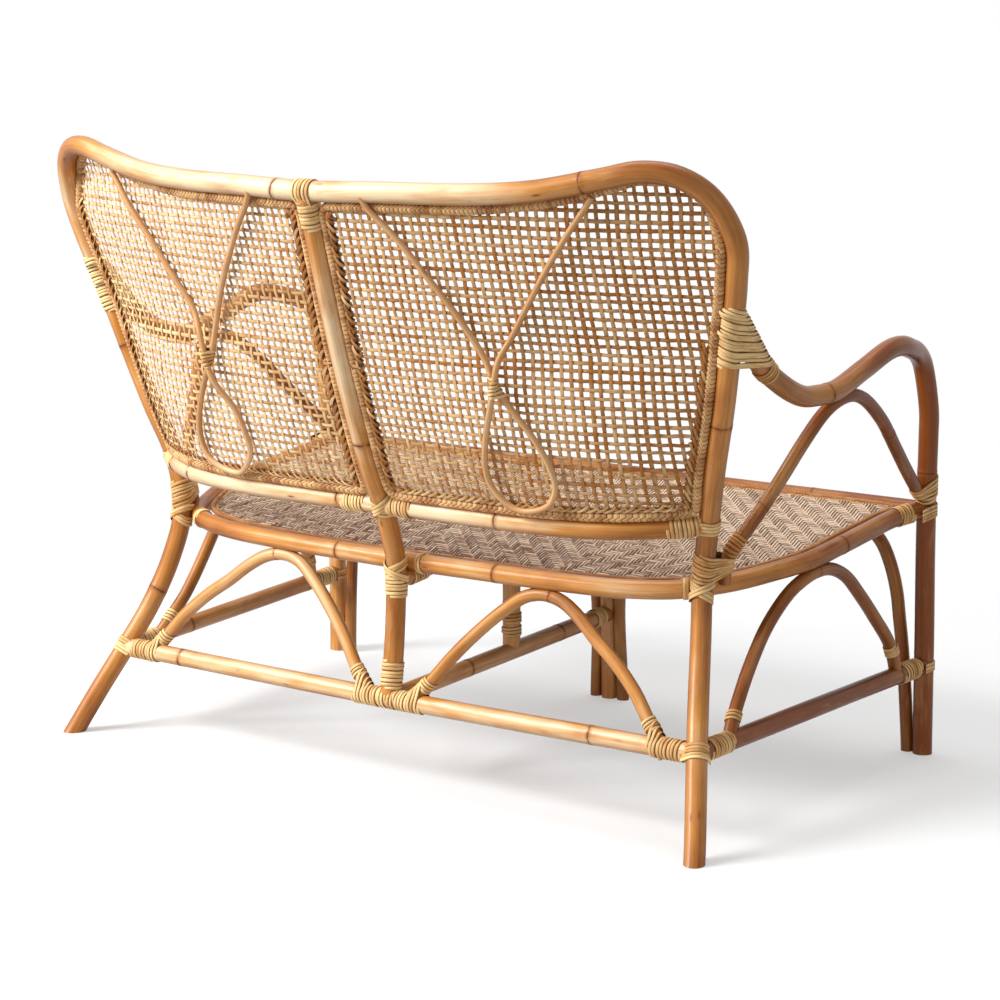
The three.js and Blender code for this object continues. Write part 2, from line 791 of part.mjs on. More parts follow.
// Back panels with their border rods, one on each side of the post.
const pieces = {};
const back_rope_radius = back_rope_diameter / 2;
const back_outlines = {};
for (const [word, side] of Object.entries(sides_of_sofa)) {
  const surface = (point) => on_back(point.x, point.z);
  const normal = (point) => back_direction(point.x, point.z);
  const half_hoop = spline([
    ...hoop_left.slice(6).map((point) => new THREE.Vector3(side * point.x, point.y, point.z)),
    place(hoop_top_shares),
  ]);
  const above_rails = post_curve.getPoints(60).filter((point) => point.z > rail_mid_share * frame_height);
  const upper_post = spline(above_rails);
  const borders = [
    { curve: half_hoop, radius: hoop_diameter / 2, gap: bound_room(hoop_diameter / 2), count: 300 },
    { curve: upper_post, radius: post_diameter / 2, gap: bound_room(post_diameter / 2), count: 160 },
    { curve: poles[`back_rail_${word}`].curve, radius: back_rail_diameter / 2,
      gap: bound_room(back_rail_diameter / 2), count: 160 },
  ];
  const outline = inner_outline(borders, surface, normal, back_rope_radius);
  back_outlines[word] = outline;
  pieces[`back_rope_${word}`] = closed_rod(outline, back_rope_radius, 30);
  const weave = solid(sheet(outline, surface, normal, back_panel_thickness, 30, 3));
  const rod = solid(closed_rod(outline, back_rope_radius + clearance, 30));
  pieces[`back_panel_${word}`] = geometry_of(weave.subtract(rod));
}

// Seat panel with its border rod, inside the seat hoop and the front rail.
const seat_rope_radius = seat_rope_diameter / 2;
const seat_surface = (point) => {
  const height = seat_level(point.y).z + seat_panel_rise;
  return new THREE.Vector3(point.x, point.y, height);
};
const seat_normal = (point) => {
  const ahead = seat_surface(new THREE.Vector3(0, point.y - corner_softening, 0));
  const behind = seat_surface(new THREE.Vector3(0, point.y + corner_softening, 0));
  return new THREE.Vector3(1, 0, 0).cross(behind.sub(ahead)).normalize();
};
const seat_borders = [
  { curve: seat_curve, radius: seat_hoop_diameter / 2, gap: 2 * clearance, count: 500 },
  { curve: poles.front_rail.curve, radius: front_rail_diameter / 2,
    gap: bound_room(front_rail_diameter / 2), count: 300 },
];
const seat_outline = inner_outline(seat_borders, seat_surface, seat_normal, seat_rope_radius);
pieces.seat_rope = closed_rod(seat_outline, seat_rope_radius, 40);
const seat_weave = solid(sheet(seat_outline, seat_surface, seat_normal, seat_panel_thickness, 40, 3));
const seat_rod = solid(closed_rod(seat_outline, seat_rope_radius + clearance, 40));
pieces.seat_panel = geometry_of(seat_weave.subtract(seat_rod));

// Decorative loop on the rear of each panel: down from the top rail, through the tie, round the
// lower lobe, back over itself at the tie and up to the corner. The last entry of a row says
// what the strand lies on: 0 the weave, 1 the border rod, 2 its own other strand, 3 the tie's cane.
const loop_shares = [
  [0.166, 0.952, 1],
  [0.177, 0.937, 1],
  [0.237, 0.892, 0],
  [0.295, 0.839, 0],
  [0.35, 0.786, 0],
  [0.405, 0.715, 3],
  [0.431, 0.673, 3],
  [0.461, 0.643, 3],
  [0.511, 0.592, 0],
  [0.536, 0.552, 0],
  [0.54, 0.523, 0],
  [0.519, 0.498, 1],
  [0.468, 0.484, 1],
  [0.424, 0.484, 1],
  [0.389, 0.5, 1],
  [0.366, 0.522, 0],
  [0.366, 0.55, 0],
  [0.382, 0.591, 0],
  [0.418, 0.643, 2],
  [0.432, 0.676, 2],
  [0.446, 0.712, 2],
  [0.479, 0.75, 0],
  [0.536, 0.804, 0],
  [0.602, 0.865, 0],
  [0.658, 0.913, 1],
  [0.695, 0.947, 1],
  [0.712, 0.963, 1],
];
const loop_radius = loop_diameter / 2;
const on_weave = back_panel_thickness / 2 + weave_bulge + loop_radius;
const on_rod = Math.max(on_weave, back_rope_radius + 2 * clearance + loop_radius);
const on_cane = on_weave + cane_thickness + 2 * clearance;
const on_strand = on_cane + loop_diameter + 2 * clearance;
const loop_lifts = [on_weave, on_rod, on_strand, on_cane];
for (const [word, side] of Object.entries(sides_of_sofa)) {
  const points = loop_shares.map(([across, up, rest]) => {
    const point = on_back(side * across * half_width, up * frame_height);
    return point.addScaledVector(back_direction(point.x, point.z), loop_lifts[rest]);
  });
  make_pole(`back_loop_${word}`, points, loop_diameter, 34, rope_sides, ['back_hoop', `back_rail_${word}`]);
}

// Split cane: a strip with a flat underside and a ridge, laid along points that each know the
// direction away from what they lie on. Each side is split so that a twisted step stays full.
const coils = {};

function strip(name, path) {
  const positions = [];
  const index = [];
  path.forEach(({ point, out }, i) => {
    const before = path[Math.max(0, i - 1)].point;
    const after = path[Math.min(path.length - 1, i + 1)].point;
    const along = after.clone().sub(before).normalize();
    const across = along.clone().cross(out).normalize();
    const up = across.clone().cross(along).normalize();
    const left = point.clone().addScaledVector(across, cane_width / 2);
    const right = point.clone().addScaledVector(across, -cane_width / 2);
    const ridge = point.clone().addScaledVector(up, cane_thickness);
    for (const corner of [left, ridge, right]) {
      positions.push(corner.x, corner.y, corner.z);
    }
  });
  const corner = (i) => new THREE.Vector3().fromArray(positions, i * 3);
  for (let i = 0; i < path.length - 1; i++) {
    const centre = path[i].point.clone().lerp(path[i + 1].point, 1 / 2);
    const bulge = (one, other) => corner(one).lerp(corner(other), 1 / 2).distanceTo(centre);
    for (let j = 0; j < 3; j++) {
      const a = i * 3 + j;
      const b = i * 3 + ((j + 1) % 3);
      if (bulge(a, b + 3) > bulge(b, a + 3)) {
        index.push(a, b, b + 3, a, b + 3, a + 3);
      } else {
        index.push(a, b, a + 3, b, b + 3, a + 3);
      }
    }
  }
  const last = (path.length - 1) * 3;
  index.push(0, 2, 1, last, last + 1, last + 2);
  coils[name] = path;
  pieces[name] = closed_geometry(positions, index);
}

// A pole's centre line as it is made, in straight steps: a place and direction at a length along it.
function along_pole({ line, length }, distance) {
  const last = line.length - 1;
  const step = THREE.MathUtils.clamp((distance / length) * last, 0, last);
  const i = Math.min(Math.floor(step), last - 1);
  const run = (j) => line[Math.min(j + 1, last)].clone().sub(line[Math.max(j - 1, 0)]).normalize();
  const direction = run(i).lerp(run(i + 1), step - i).normalize();
  return { centre: line[i].clone().lerp(line[i + 1], step - i), direction };
}

// The point of a pole that lies in the plane through a place, square to a direction.
function crossing_of({ line }, centre, direction) {
  let best = null;
  for (let i = 0; i < line.length - 1; i++) {
    const a = line[i].clone().sub(centre).dot(direction);
    const b = line[i + 1].clone().sub(centre).dot(direction);
    if (a * b <= 0 && a !== b) {
      const point = line[i].clone().lerp(line[i + 1], a / (a - b));
      if (best === null || point.distanceTo(centre) < best.centre.distanceTo(centre)) {
        best = { centre: point, direction: line[i + 1].clone().sub(line[i]).normalize() };
      }
    }
  }
  return best ?? { centre: centre.clone(), direction };
}

// Length along a pole at which one coordinate has the given value.
function length_at({ line, length }, axis, value) {
  for (let i = 0; i < line.length - 1; i++) {
    const here = line[i][axis] - value;
    const next = line[i + 1][axis] - value;
    if (here * next <= 0) {
      return (length * (i + here / (here - next || 1))) / (line.length - 1);
    }
  }
  return 0;
}

function flattened(vector, direction) {
  return vector.clone().addScaledVector(direction, -vector.dot(direction)).normalize();
}

// How far out a strip's underside runs, so that its straight steps stay clear of the pole.
function lying_radius(radius, steps = turn_steps) {
  return (radius + 2 * clearance) / Math.cos(Math.PI / steps);
}

const pitch = cane_width + cane_gap;

// Turns of cane round a bar, begun at its side: a list of places with the direction out of the bar.
// Poles bound in with the bar are its partners, each with some room of its own; between two of them
// the cane runs straight. The sense is 1 or -1, for the one way round or the other.
function turns_round({ bar, start, way, side, count, sense = 1, partners = [], room = clearance }) {
  const lay = (turn) => {
    const { centre, direction } = along_pole(bar, start + way * pitch * turn);
    const first = flattened(side, direction);
    const second = direction.clone().cross(first);
    const angle = sense * 2 * Math.PI * turn;
    const out = first.multiplyScalar(Math.cos(angle)).addScaledVector(second, Math.sin(angle));
    const round = [{ centre, radius: bar.radius }];
    for (const partner of partners) {
      const met = crossing_of(partner, centre, direction);
      const slanted = (partner.radius + room) / Math.abs(met.direction.dot(direction));
      round.push({ centre: met.centre, radius: slanted });
    }
    const reach = (circle) => circle.centre.dot(out) + lying_radius(circle.radius);
    const far = round.reduce((best, circle) => (reach(circle) > reach(best) ? circle : best));
    const point = far.centre.clone().addScaledVector(out, lying_radius(far.radius));
    return { on: round.indexOf(far), point, out };
  };
  const path = [lay(0)];
  const total = Math.round(count * turn_steps);
  for (let i = 1; i <= total; i++) {
    let low = (i - 1) / turn_steps;
    let high = i / turn_steps;
    const [before, after] = [lay(low), lay(high)];
    if (before.on !== after.on) {
      for (let k = 0; k < halvings; k++) {
        const between = (low + high) / 2;
        if (lay(between).on === before.on) {
          low = between;
        } else {
          high = between;
        }
      }
      path.push(lay(low), lay(high));
    }
    path.push(after);
  }
  return path;
}

// Passes of cane over a pole, from the side of one bar that meets it to the side of another, or of
// the same one, there and back with a turn lying on the bar after each pass.
function passes_over({ over, at, outward, ends, count, lowered = 0 }) {
  const { centre, direction } = along_pole(over, at);
  const facing = flattened(outward, direction);
  const sideways = direction.clone().cross(facing);
  const radius = lying_radius(over.radius, pass_steps) + 2 * clearance;
  const tails = ends.map((end) => {
    const tail = along_pole(end.bar, end.tail);
    const side = flattened(end.side, tail.direction);
    const flat = flattened(side, direction);
    const upward_here = flattened(direction, tail.direction);
    upward_here.addScaledVector(side, -upward_here.dot(side)).normalize();
    const bar_radius = lying_radius(end.bar.radius) + 3 * clearance;
    const lay = (height, further = 0) => {
      const angle = Math.asin(height / bar_radius);
      const out = side.clone().multiplyScalar(Math.cos(angle));
      out.addScaledVector(upward_here, Math.sin(angle));
      const point = tail.centre.clone().addScaledVector(tail.direction, end.way * further);
      return { point: point.addScaledVector(out, bar_radius), out };
    };
    return { lay, angle: Math.atan2(flat.dot(sideways), flat.dot(facing)) };
  });
  const path = [];
  for (let k = 0; k < count; k++) {
    const height = (k - (count - 1) / 2) * pitch - lowered;
    const [from, to] = k % 2 === 0 ? tails : [tails[1], tails[0]];
    path.push(from.lay(height));
    const span = to.angle - from.angle;
    const steps = Math.max(1, Math.round(Math.abs(span) / ((2 * Math.PI) / pass_steps)));
    for (let i = 0; i <= steps; i++) {
      const angle = from.angle + (span * i) / steps;
      const out = facing.clone().multiplyScalar(Math.cos(angle)).addScaledVector(sideways, Math.sin(angle));
      const point = centre.clone().addScaledVector(direction, height).addScaledVector(out, radius);
      if (i === 0 || i < steps || Math.abs(span) > Math.PI / pass_steps) {
        path.push({ point, out });
      }
    }
    path.push(to.lay(height));
    if (k < count - 1) {
      path.push(to.lay(height + pitch * turn_early_share, pitch / 2));
      path.push(to.lay(height + pitch * (1 - turn_early_share), pitch / 2));
    }
  }
  return path;
}

// A whole binding: turns on the first bar, passes over the pole, turns on the second bar. The turns
// go on round the bar the way the passes come to it.
function bind(name, { over, at, outward, passes, ends, lowered }) {
  const up = along_pole(over, at).direction;
  const started = ends.map((end, i) => {
    const { direction } = along_pole(end.bar, end.tail);
    const onward = direction.clone().cross(flattened(end.side, direction)).dot(up);
    const start = end.tail + end.way * pitch * turns_after_share;
    return { ...end, start, sense: Math.sign(onward) * (i === 0 ? 1 : -1) };
  });
  const order = passes % 2 === 1 ? started : [started[0], started[0]];
  const before = started[0].count ? turns_round(started[0]).reverse() : [];
  const middle = passes_over({ over, at, outward, ends, count: passes, lowered });
  const last = passes % 2 === 1 ? order[1] : null;
  const after = last && last.count ? turns_round(last) : [];
  strip(name, [...before, ...middle, ...after]);
}

// How far from a joint's centre the cane on a bar begins, past the other pole.
function past(radius) {
  return lying_radius(radius) + cane_thickness + cane_width / 2;
}

// Whole turns and passes of each binding.
const pass_steps = 8;
const halvings = 12;
const turn_early_share = 0.2;
const turns_after_share = 1.5;
const top_turns = 6;
const arm_turns = 6;
const rail_leg_turns = 4;
const rail_post_turns = 3;
const seat_post_turns = 4;
const corner_turns = 2;
const side_rear_turns = 3;
const rear_centre_turns = 4;
const post_foot_turns = 3;
const seat_front_turns = 3;
const seat_leg_turns = 5;
const side_front_turns = 3;
const front_post_turns = 4;
const short_post_turns = 3;
const tie_turns = 3;
const tie_share = 0.676;
const tie_across_share = 0.432;

const upward = new THREE.Vector3(0, 0, 1);
const rearward = new THREE.Vector3(0, 1, 0);
const forward = new THREE.Vector3(0, -1, 0);
const rightward = new THREE.Vector3(1, 0, 0);
const leftward = new THREE.Vector3(-1, 0, 0);

const post = poles.centre_post;
const hoop = poles.back_hoop;
const rear_bar = poles.rear_stretcher;

// Top rail and centre post: passes over the rail, then turns down the post.
bind('top_binding', {
  over: hoop,
  at: hoop.length / 2,
  outward: upward,
  passes: 3,
  ends: [
    { bar: post, tail: past(hoop_diameter / 2), way: 1, side: forward, count: 0 },
    { bar: post, tail: past(hoop_diameter / 2), way: 1, side: rearward, count: top_turns },
  ],
});

// Lower back rails: turns on the one, passes across the rear of the post, turns on the other.
bind('rail_post_binding', {
  over: post,
  at: length_at(post, 'z', rail_mid_share * frame_height),
  outward: rearward,
  passes: 3,
  ends: [
    { bar: poles.back_rail_left, tail: past(post_diameter / 2), way: 1, side: rearward,
      count: rail_post_turns },
    { bar: poles.back_rail_right, tail: past(post_diameter / 2), way: 1, side: rearward,
      count: rail_post_turns },
  ],
});

strip('seat_post_binding', turns_round({
  bar: post,
  start: length_at(post, 'z', crossbar_rear.z - past(crossbar_diameter / 2)),
  way: 1,
  side: rearward,
  count: seat_post_turns,
}));

strip('post_foot_binding', turns_round({
  bar: post,
  start: post.length - past(stretcher_diameter / 2) - stretcher_diameter / 2,
  way: -1,
  side: rearward,
  count: post_foot_turns,
}));

const arch_clear = 70.2;
for (const [word, side] of Object.entries(sides_of_sofa)) {
  const arm = poles[`arm_${word}`];
  const rail = poles[`back_rail_${word}`];
  const bar = poles[`side_stretcher_${word}`];
  const seat = poles.seat_hoop;
  const outward = side > 0 ? rightward : leftward;
  const hoop_place = (height) => {
    const from_left = length_at(hoop, 'z', height);
    return side > 0 ? from_left : hoop.length - from_left;
  };
  strip(`arm_binding_${word}`, turns_round({
    bar: arm,
    start: past(hoop_diameter / 2) + hoop_diameter / 2,
    way: 1,
    side: outward,
    count: arm_turns,
  }));
  const rail_tail = rail.length - past(hoop_diameter / 2);
  bind(`rail_leg_binding_${word}`, {
    over: hoop,
    at: hoop_place(rail_end_share * frame_height),
    outward: along_pole(rail, rail.length).direction,
    passes: 3,
    ends: [
      { bar: rail, tail: rail_tail, way: -1, side: forward, count: 0 },
      { bar: rail, tail: rail_tail, way: -1, side: rearward, count: rail_leg_turns },
    ],
  });
  const rear_end = side > 0 ? past(hoop_diameter / 2) : rear_bar.length - past(hoop_diameter / 2);
  bind(`rear_corner_binding_${word}`, {
    over: hoop,
    at: hoop_place(rear_stretcher_height),
    outward: outward.clone().add(rearward),
    passes: 3,
    ends: [
      { bar: rear_bar, tail: rear_end, way: side, side: rearward, count: corner_turns },
      { bar, tail: past(hoop_diameter / 2), way: 1, side: outward, count: side_rear_turns },
    ],
  });
  const clear_of_arch = length_at(rear_bar, 'x', side * arch_clear);
  strip(`rear_centre_binding_${word}`, turns_round({
    bar: rear_bar,
    start: clear_of_arch,
    way: -side,
    side: upward,
    count: rear_centre_turns,
  }));
  bind(`side_front_binding_${word}`, {
    over: arm,
    at: length_at(arm, 'z', along_pole(bar, bar.length).centre.z),
    outward: forward,
    passes: 3,
    ends: [
      { bar, tail: bar.length - past(arm_diameter / 2), way: -1, side: outward.clone().negate(), count: 0 },
      { bar, tail: bar.length - past(arm_diameter / 2), way: -1, side: outward, count: side_front_turns },
    ],
  });
  const front = poles.front_rail;
  const front_end = side > 0 ? past(arm_diameter / 2) : front.length - past(arm_diameter / 2);
  const seat_end = side > 0 ? past(arm_diameter / 2) : seat.length - past(arm_diameter / 2);
  bind(`seat_front_binding_${word}`, {
    over: arm,
    at: length_at(arm, 'z', along_pole(seat, side > 0 ? 0 : seat.length).centre.z),
    outward: outward.clone().add(forward),
    passes: 2,
    lowered: pitch / 2,
    ends: [
      { bar: front, tail: front_end, way: side, side: forward, count: seat_front_turns },
      { bar: seat, tail: seat_end, way: side, side: outward, count: 0 },
    ],
  });
}

// Ties where each loop's two strands cross: turns round both.
for (const [word, side] of Object.entries(sides_of_sofa)) {
  const loop = poles[`back_loop_${word}`];
  const half = Math.round(loop.line.length / 2);
  const lower = { line: loop.line.slice(0, half), radius: loop.radius };
  const upper = { line: loop.line.slice(half), radius: loop.radius };
  const middle_of_tie = on_back(side * tie_across_share * half_width, tie_share * frame_height);
  const strands = [lower, upper].map((strand) => crossing_of(strand, middle_of_tie, upward));
  const axis = strands[1].direction.clone().sub(strands[0].direction).normalize();
  const between = strands[0].centre.clone().lerp(strands[1].centre, 1 / 2);
  const reach = pitch * tie_turns;
  const bar = {
    line: [between.clone().addScaledVector(axis, -reach), between.clone().addScaledVector(axis, reach)],
    length: 2 * reach,
    radius: 0,
  };
  const facing = back_direction(side * tie_across_share * half_width, tie_share * frame_height);
  strip(`tie_binding_${word}`, turns_round({
    bar,
    start: reach / 2,
    way: 1,
    side: facing,
    count: tie_turns,
    partners: [lower, upper],
    room: 2 * clearance,
  }));
  const seat_joint = seat_leg_height_share * frame_height + seat_hoop_diameter / 2;
  strip(`seat_leg_binding_${word}`, turns_round({
    bar: hoop,
    start: side > 0 ? length_at(hoop, 'z', seat_joint + past(cane_width / 2))
      : hoop.length - length_at(hoop, 'z', seat_joint + past(cane_width / 2)),
    way: side,
    side: rearward,
    count: seat_leg_turns,
    partners: [poles[`arm_arch_${word}`]],
  }));
}

const front_post_band = front_post_band_share * frame_height + past(stretcher_diameter / 2);
strip('front_post_binding', turns_round({
  bar: poles.front_post,
  start: length_at(poles.front_post, 'z', front_post_band),
  way: 1,
  side: rearward,
  count: front_post_turns,
  partners: [poles.front_arch_left, poles.front_arch_right],
  room: -clearance,
}));
strip('short_post_binding', turns_round({
  bar: poles.short_post,
  start: past(stretcher_diameter / 2),
  way: 1,
  side: rearward,
  count: short_post_turns,
}));

// Colours.
const colours = {
  pole: 0xb9773a,
  arch: 0xc08343,
  loop: 0xc9b07a,
  rod: 0xb98a4e,
  back_weave: 0xc9a064,
  seat_weave: 0xc99a72,
  cane: 0xe0c48c,
};

function material_for(name) {
  const kinds = [
    ['binding', 'cane', 0.55],
    ['loop', 'loop', 0.5],
    ['rope', 'rod', 0.6],
    ['back_panel', 'back_weave', 0.65],
    ['seat_panel', 'seat_weave', 0.6],
    ['arch', 'arch', 0.38],
  ];
  const [, tone, roughness] = kinds.find(([part]) => name.includes(part)) ?? ['', 'pole', 0.35];
  return new THREE.MeshStandardMaterial({ color: colours[tone], roughness, metalness: 0 });
}

const group = new THREE.Group();
group.name = 'rattan_sofa';
for (const [name, { geometry }] of Object.entries(poles)) {
  pieces[name] = geometry;
}
for (const [name, geometry] of Object.entries(pieces)) {
  const shaded = toCreasedNormals(geometry, Math.PI / 3);
  const mesh = new THREE.Mesh(shaded, material_for(name));
  mesh.name = name;
  group.add(mesh);
}

// The origin is on the floor, under the middle of the whole sofa.
group.updateMatrixWorld(true);
const extent = new THREE.Box3().setFromObject(group, true);
const middle = extent.getCenter(new THREE.Vector3());
group.position.set(-middle.x, -middle.y, -extent.min.z);

// Least distance between two turns of each winding, edge to edge along the strip.
for (const [name, path] of Object.entries(coils)) {
  let least = Infinity;
  const apart = Math.round(turn_steps / 2);
  for (let i = 0; i < path.length; i++) {
    for (let j = i + apart; j < path.length; j++) {
      least = Math.min(least, path[i].point.distanceTo(path[j].point) - cane_width);
    }
  }
  console.log(name, 'least gap to itself', least.toFixed(2));
}

export default group;
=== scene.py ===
# Rattan garden sofa, seen from behind: varnished poles bound with split cane, a woven back and seat.
# Lengths are in millimetres until a mesh is written, which is in metres.
# +Z is up, the front faces -Y, X runs across the width and "left" is +X.
import math
import bpy
import numpy as np
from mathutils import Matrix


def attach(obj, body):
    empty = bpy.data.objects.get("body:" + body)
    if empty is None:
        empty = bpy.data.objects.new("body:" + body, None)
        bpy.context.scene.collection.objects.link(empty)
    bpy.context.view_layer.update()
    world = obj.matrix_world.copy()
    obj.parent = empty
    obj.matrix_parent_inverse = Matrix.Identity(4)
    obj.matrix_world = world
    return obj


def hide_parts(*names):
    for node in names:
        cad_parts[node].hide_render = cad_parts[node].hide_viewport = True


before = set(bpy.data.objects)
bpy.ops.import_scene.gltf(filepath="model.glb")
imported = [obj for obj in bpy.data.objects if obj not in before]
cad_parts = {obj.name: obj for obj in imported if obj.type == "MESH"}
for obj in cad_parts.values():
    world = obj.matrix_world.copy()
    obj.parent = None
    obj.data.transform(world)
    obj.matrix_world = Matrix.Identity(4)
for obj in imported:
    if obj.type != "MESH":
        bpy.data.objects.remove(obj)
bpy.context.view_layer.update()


# The back hoop is one rattan pole 30 mm thick, heated and bent foot to foot over the back. Its skin
# is varnished, with a raised ring wherever the vine had a leaf, and its feet are sawn flat.
HOOP_WIDTH = 30
HOOP_HALF = [
    (567.8, 292.2, -27.1), (560.3, 274.2, 0), (538.8, 236.8, 65.1), (517.4, 200.9, 125.7),
    (496.5, 164.3, 189.8), (480.2, 133.6, 260.4), (471, 115.7, 332.7), (480.8, 119.4, 414.9),
    (504, 143.3, 499.9), (529.5, 164.3, 590.3), (551, 186, 677.1), (571.9, 209.2, 760.3),
    (579.4, 225.6, 814.5), (560.3, 254.8, 869), (526.1, 279.5, 895.5), (482.6, 298.9, 901.2),
    (429.8, 312.4, 890.5), (339.9, 332.6, 873), (250, 350.5, 866), (120.1, 369.2, 864.2),
    (0, 375.2, 861.5),
]
HOOP_RINGS = (286, 690, 1532, 1997, 2505)
# Share of the length from the left foot, and how much darker the vine is there: partly its own tone,
# partly painted light, paler over the top where the light falls and darker down the shaded right side.
HOOP_TONE_AND_LIGHT = [
    (0, 0.5), (0.06, 0.15), (0.12, 0.3), (0.2, 0.05), (0.3, 0.1), (0.34, 0.2), (0.38, -0.1), (0.43, -0.4),
    (0.53, -0.4), (0.575, -0.25), (0.615, 0.2), (0.66, 0.45), (0.72, 0.35), (0.82, 0.4), (0.88, 0.55),
    (0.93, 0.3), (1, 0.5),
]
# The skin stands a little inside the solid pole, so that its rings stay within it. The sizes of a
# ring are those on a pole of full width, and its rows lie closer the nearer they are to it.
SKIN_SHARE, FULL_WIDTH, ROW_STEP, SPAN_STEPS, CREASE = 0.975, 30, 8, 33, 50
RING_ROWS = np.array([-13, -9, -6, -4, -2.6, -1.7, -1, -0.5, 0, 0.5, 1, 1.7, 2.6, 4, 6, 9, 13])
REAR, SIDEWAYS, UP = (0, 1, 0), (1, 0, 0), (0, 0, 1)
SEED = 11
dice = np.random.default_rng(SEED)


def mirrored(rows):
    """The same points on the other side of the sofa."""
    return [(-x, y, z) for x, y, z in rows]


def lengths_of(line):
    """Length along a line of points to each of them."""
    return np.concatenate([[0], np.cumsum(np.linalg.norm(np.diff(line, axis=0), axis=1))])


def centre_line(rows):
    """A smooth course through the points: dense points, and the length along it to each of them.

    Every span is a cubic whose end slopes weigh the chords beside them by the square roots of their
    lengths. Beyond each end stands the last but one point, mirrored.
    """
    p = np.array(rows, float)
    p = np.vstack([2 * p[0] - p[1], p, 2 * p[-1] - p[-2]])
    root = np.sqrt(np.linalg.norm(np.diff(p, axis=0), axis=1))[:, None]
    before, own, after = root[:-2], root[1:-1], root[2:]
    a, b, c, d = p[:-3], p[1:-2], p[2:-1], p[3:]
    leave = ((b - a) / before - (c - a) / (before + own) + (c - b) / own) * own
    reach = ((c - b) / own - (d - b) / (own + after) + (d - c) / after) * own
    t = np.linspace(0, 1, SPAN_STEPS)[:-1, None, None]
    bend, ease = 3 * (c - b) - 2 * leave - reach, 2 * (b - c) + leave + reach
    spans = b + leave * t + bend * t ** 2 + ease * t ** 3
    line = np.vstack([spans.transpose(1, 0, 2).reshape(-1, 3), p[-2]])
    return line, lengths_of(line)


def unit(v):
    """Vectors cut or drawn out to length one."""
    return v / np.maximum(np.linalg.norm(v, axis=-1, keepdims=True), 1e-9)


def between(at, places, rows):
    """The columns of some rows, read off between the places they are given for."""
    return np.stack([np.interp(at, places, column) for column in rows.T], -1)


def along(course, s):
    """Place and direction on a course at lengths s, an array of any shape."""
    line, length = course
    return between(s, length, line), unit(between(s + 1.5, length, line) - between(s - 1.5, length, line))


def loft(grid, **marks):
    """Skin over a grid of rows, each row one closed outline, with a fan over the first and last row.

    grid[i, j] is point j of row i. Marks are values per point, carried to the mesh by name; the
    middle of each fan takes the mean of its row.
    """
    rows, cols = grid.shape[:2]
    at = np.arange(rows * cols).reshape(rows, cols)
    turn = np.roll(at, -1, axis=1)
    quads = np.stack([at[:-1], turn[:-1], turn[1:], at[1:]], -1).reshape(-1, 4)
    first, last = rows * cols, rows * cols + 1
    start = np.stack([turn[0], at[0], np.full(cols, first)], -1)
    end = np.stack([at[-1], turn[-1], np.full(cols, last)], -1)

    def closed(values):
        flat = values.reshape((rows * cols,) + values.shape[2:])
        return np.concatenate([flat, [values[0].mean(0)], [values[-1].mean(0)]])

    shape = (rows, cols)
    carried = {}
    for word, value in marks.items():
        value = np.asarray(value, float)
        full = value if value.shape[:2] == shape else np.broadcast_to(value, shape + value.shape[2:])
        carried[word] = closed(full)
    return closed(grid), quads, np.vstack([start, end]), carried


def add_piece(name, parts, material, nodes):
    """One mesh object of several lofts, set over the CAD nodes it stands for."""
    points, quads, tris, count = [], [], [], 0
    for verts, four, three, _ in parts:
        points.append(verts)
        quads.append(four + count)
        tris.append(three + count)
        count += len(verts)
    points = np.concatenate(points) / 1000
    quads, tris = np.concatenate(quads), np.concatenate(tris)
    mesh = bpy.data.meshes.new(name)
    mesh.vertices.add(len(points))
    mesh.vertices.foreach_set("co", points.ravel())
    mesh.loops.add(quads.size + tris.size)
    mesh.loops.foreach_set("vertex_index", np.concatenate([quads.ravel(), tris.ravel()]))
    mesh.polygons.add(len(quads) + len(tris))
    starts = np.concatenate([np.arange(len(quads)) * 4, quads.size + np.arange(len(tris)) * 3])
    mesh.polygons.foreach_set("loop_start", starts)
    mesh.update(calc_edges=True)
    for word in parts[0][3]:
        values = np.concatenate([part[3][word] for part in parts])
        kind = "FLOAT" if values.ndim == 1 else "FLOAT_VECTOR"
        layer = mesh.attributes.new(word, kind, "POINT")
        layer.data.foreach_set("value" if values.ndim == 1 else "vector", values.ravel())
    mesh.polygons.foreach_set("use_smooth", np.ones(len(mesh.polygons), bool))
    mesh.set_sharp_from_angle(angle=math.radians(CREASE))
    mesh.materials.append(material)
    piece = bpy.data.objects.new(name, mesh)
    bpy.context.scene.collection.objects.link(piece)
    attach(piece, "root")
    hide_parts(*nodes)


def frame_along(course, s, facing):
    """Place, direction and two square directions at lengths s; the first leans to facing."""
    spot, run = along(course, s)
    facing = np.broadcast_to(np.array(facing, float), run.shape)
    first = unit(facing - (facing * run).sum(-1, keepdims=True) * run)
    return spot, run, first, np.cross(run, first)


def round_by(angle, first, second):
    """The direction at an angle from the first of two square directions toward the second."""
    return np.cos(angle)[..., None] * first + np.sin(angle)[..., None] * second


def rows_of(value, end):
    """A value along a pole as (place, value) rows: as given, or the same one from 0 to the end."""
    return np.array(value, float).reshape(-1, 2) if np.ndim(value) else np.array([(0, value), (end, value)])


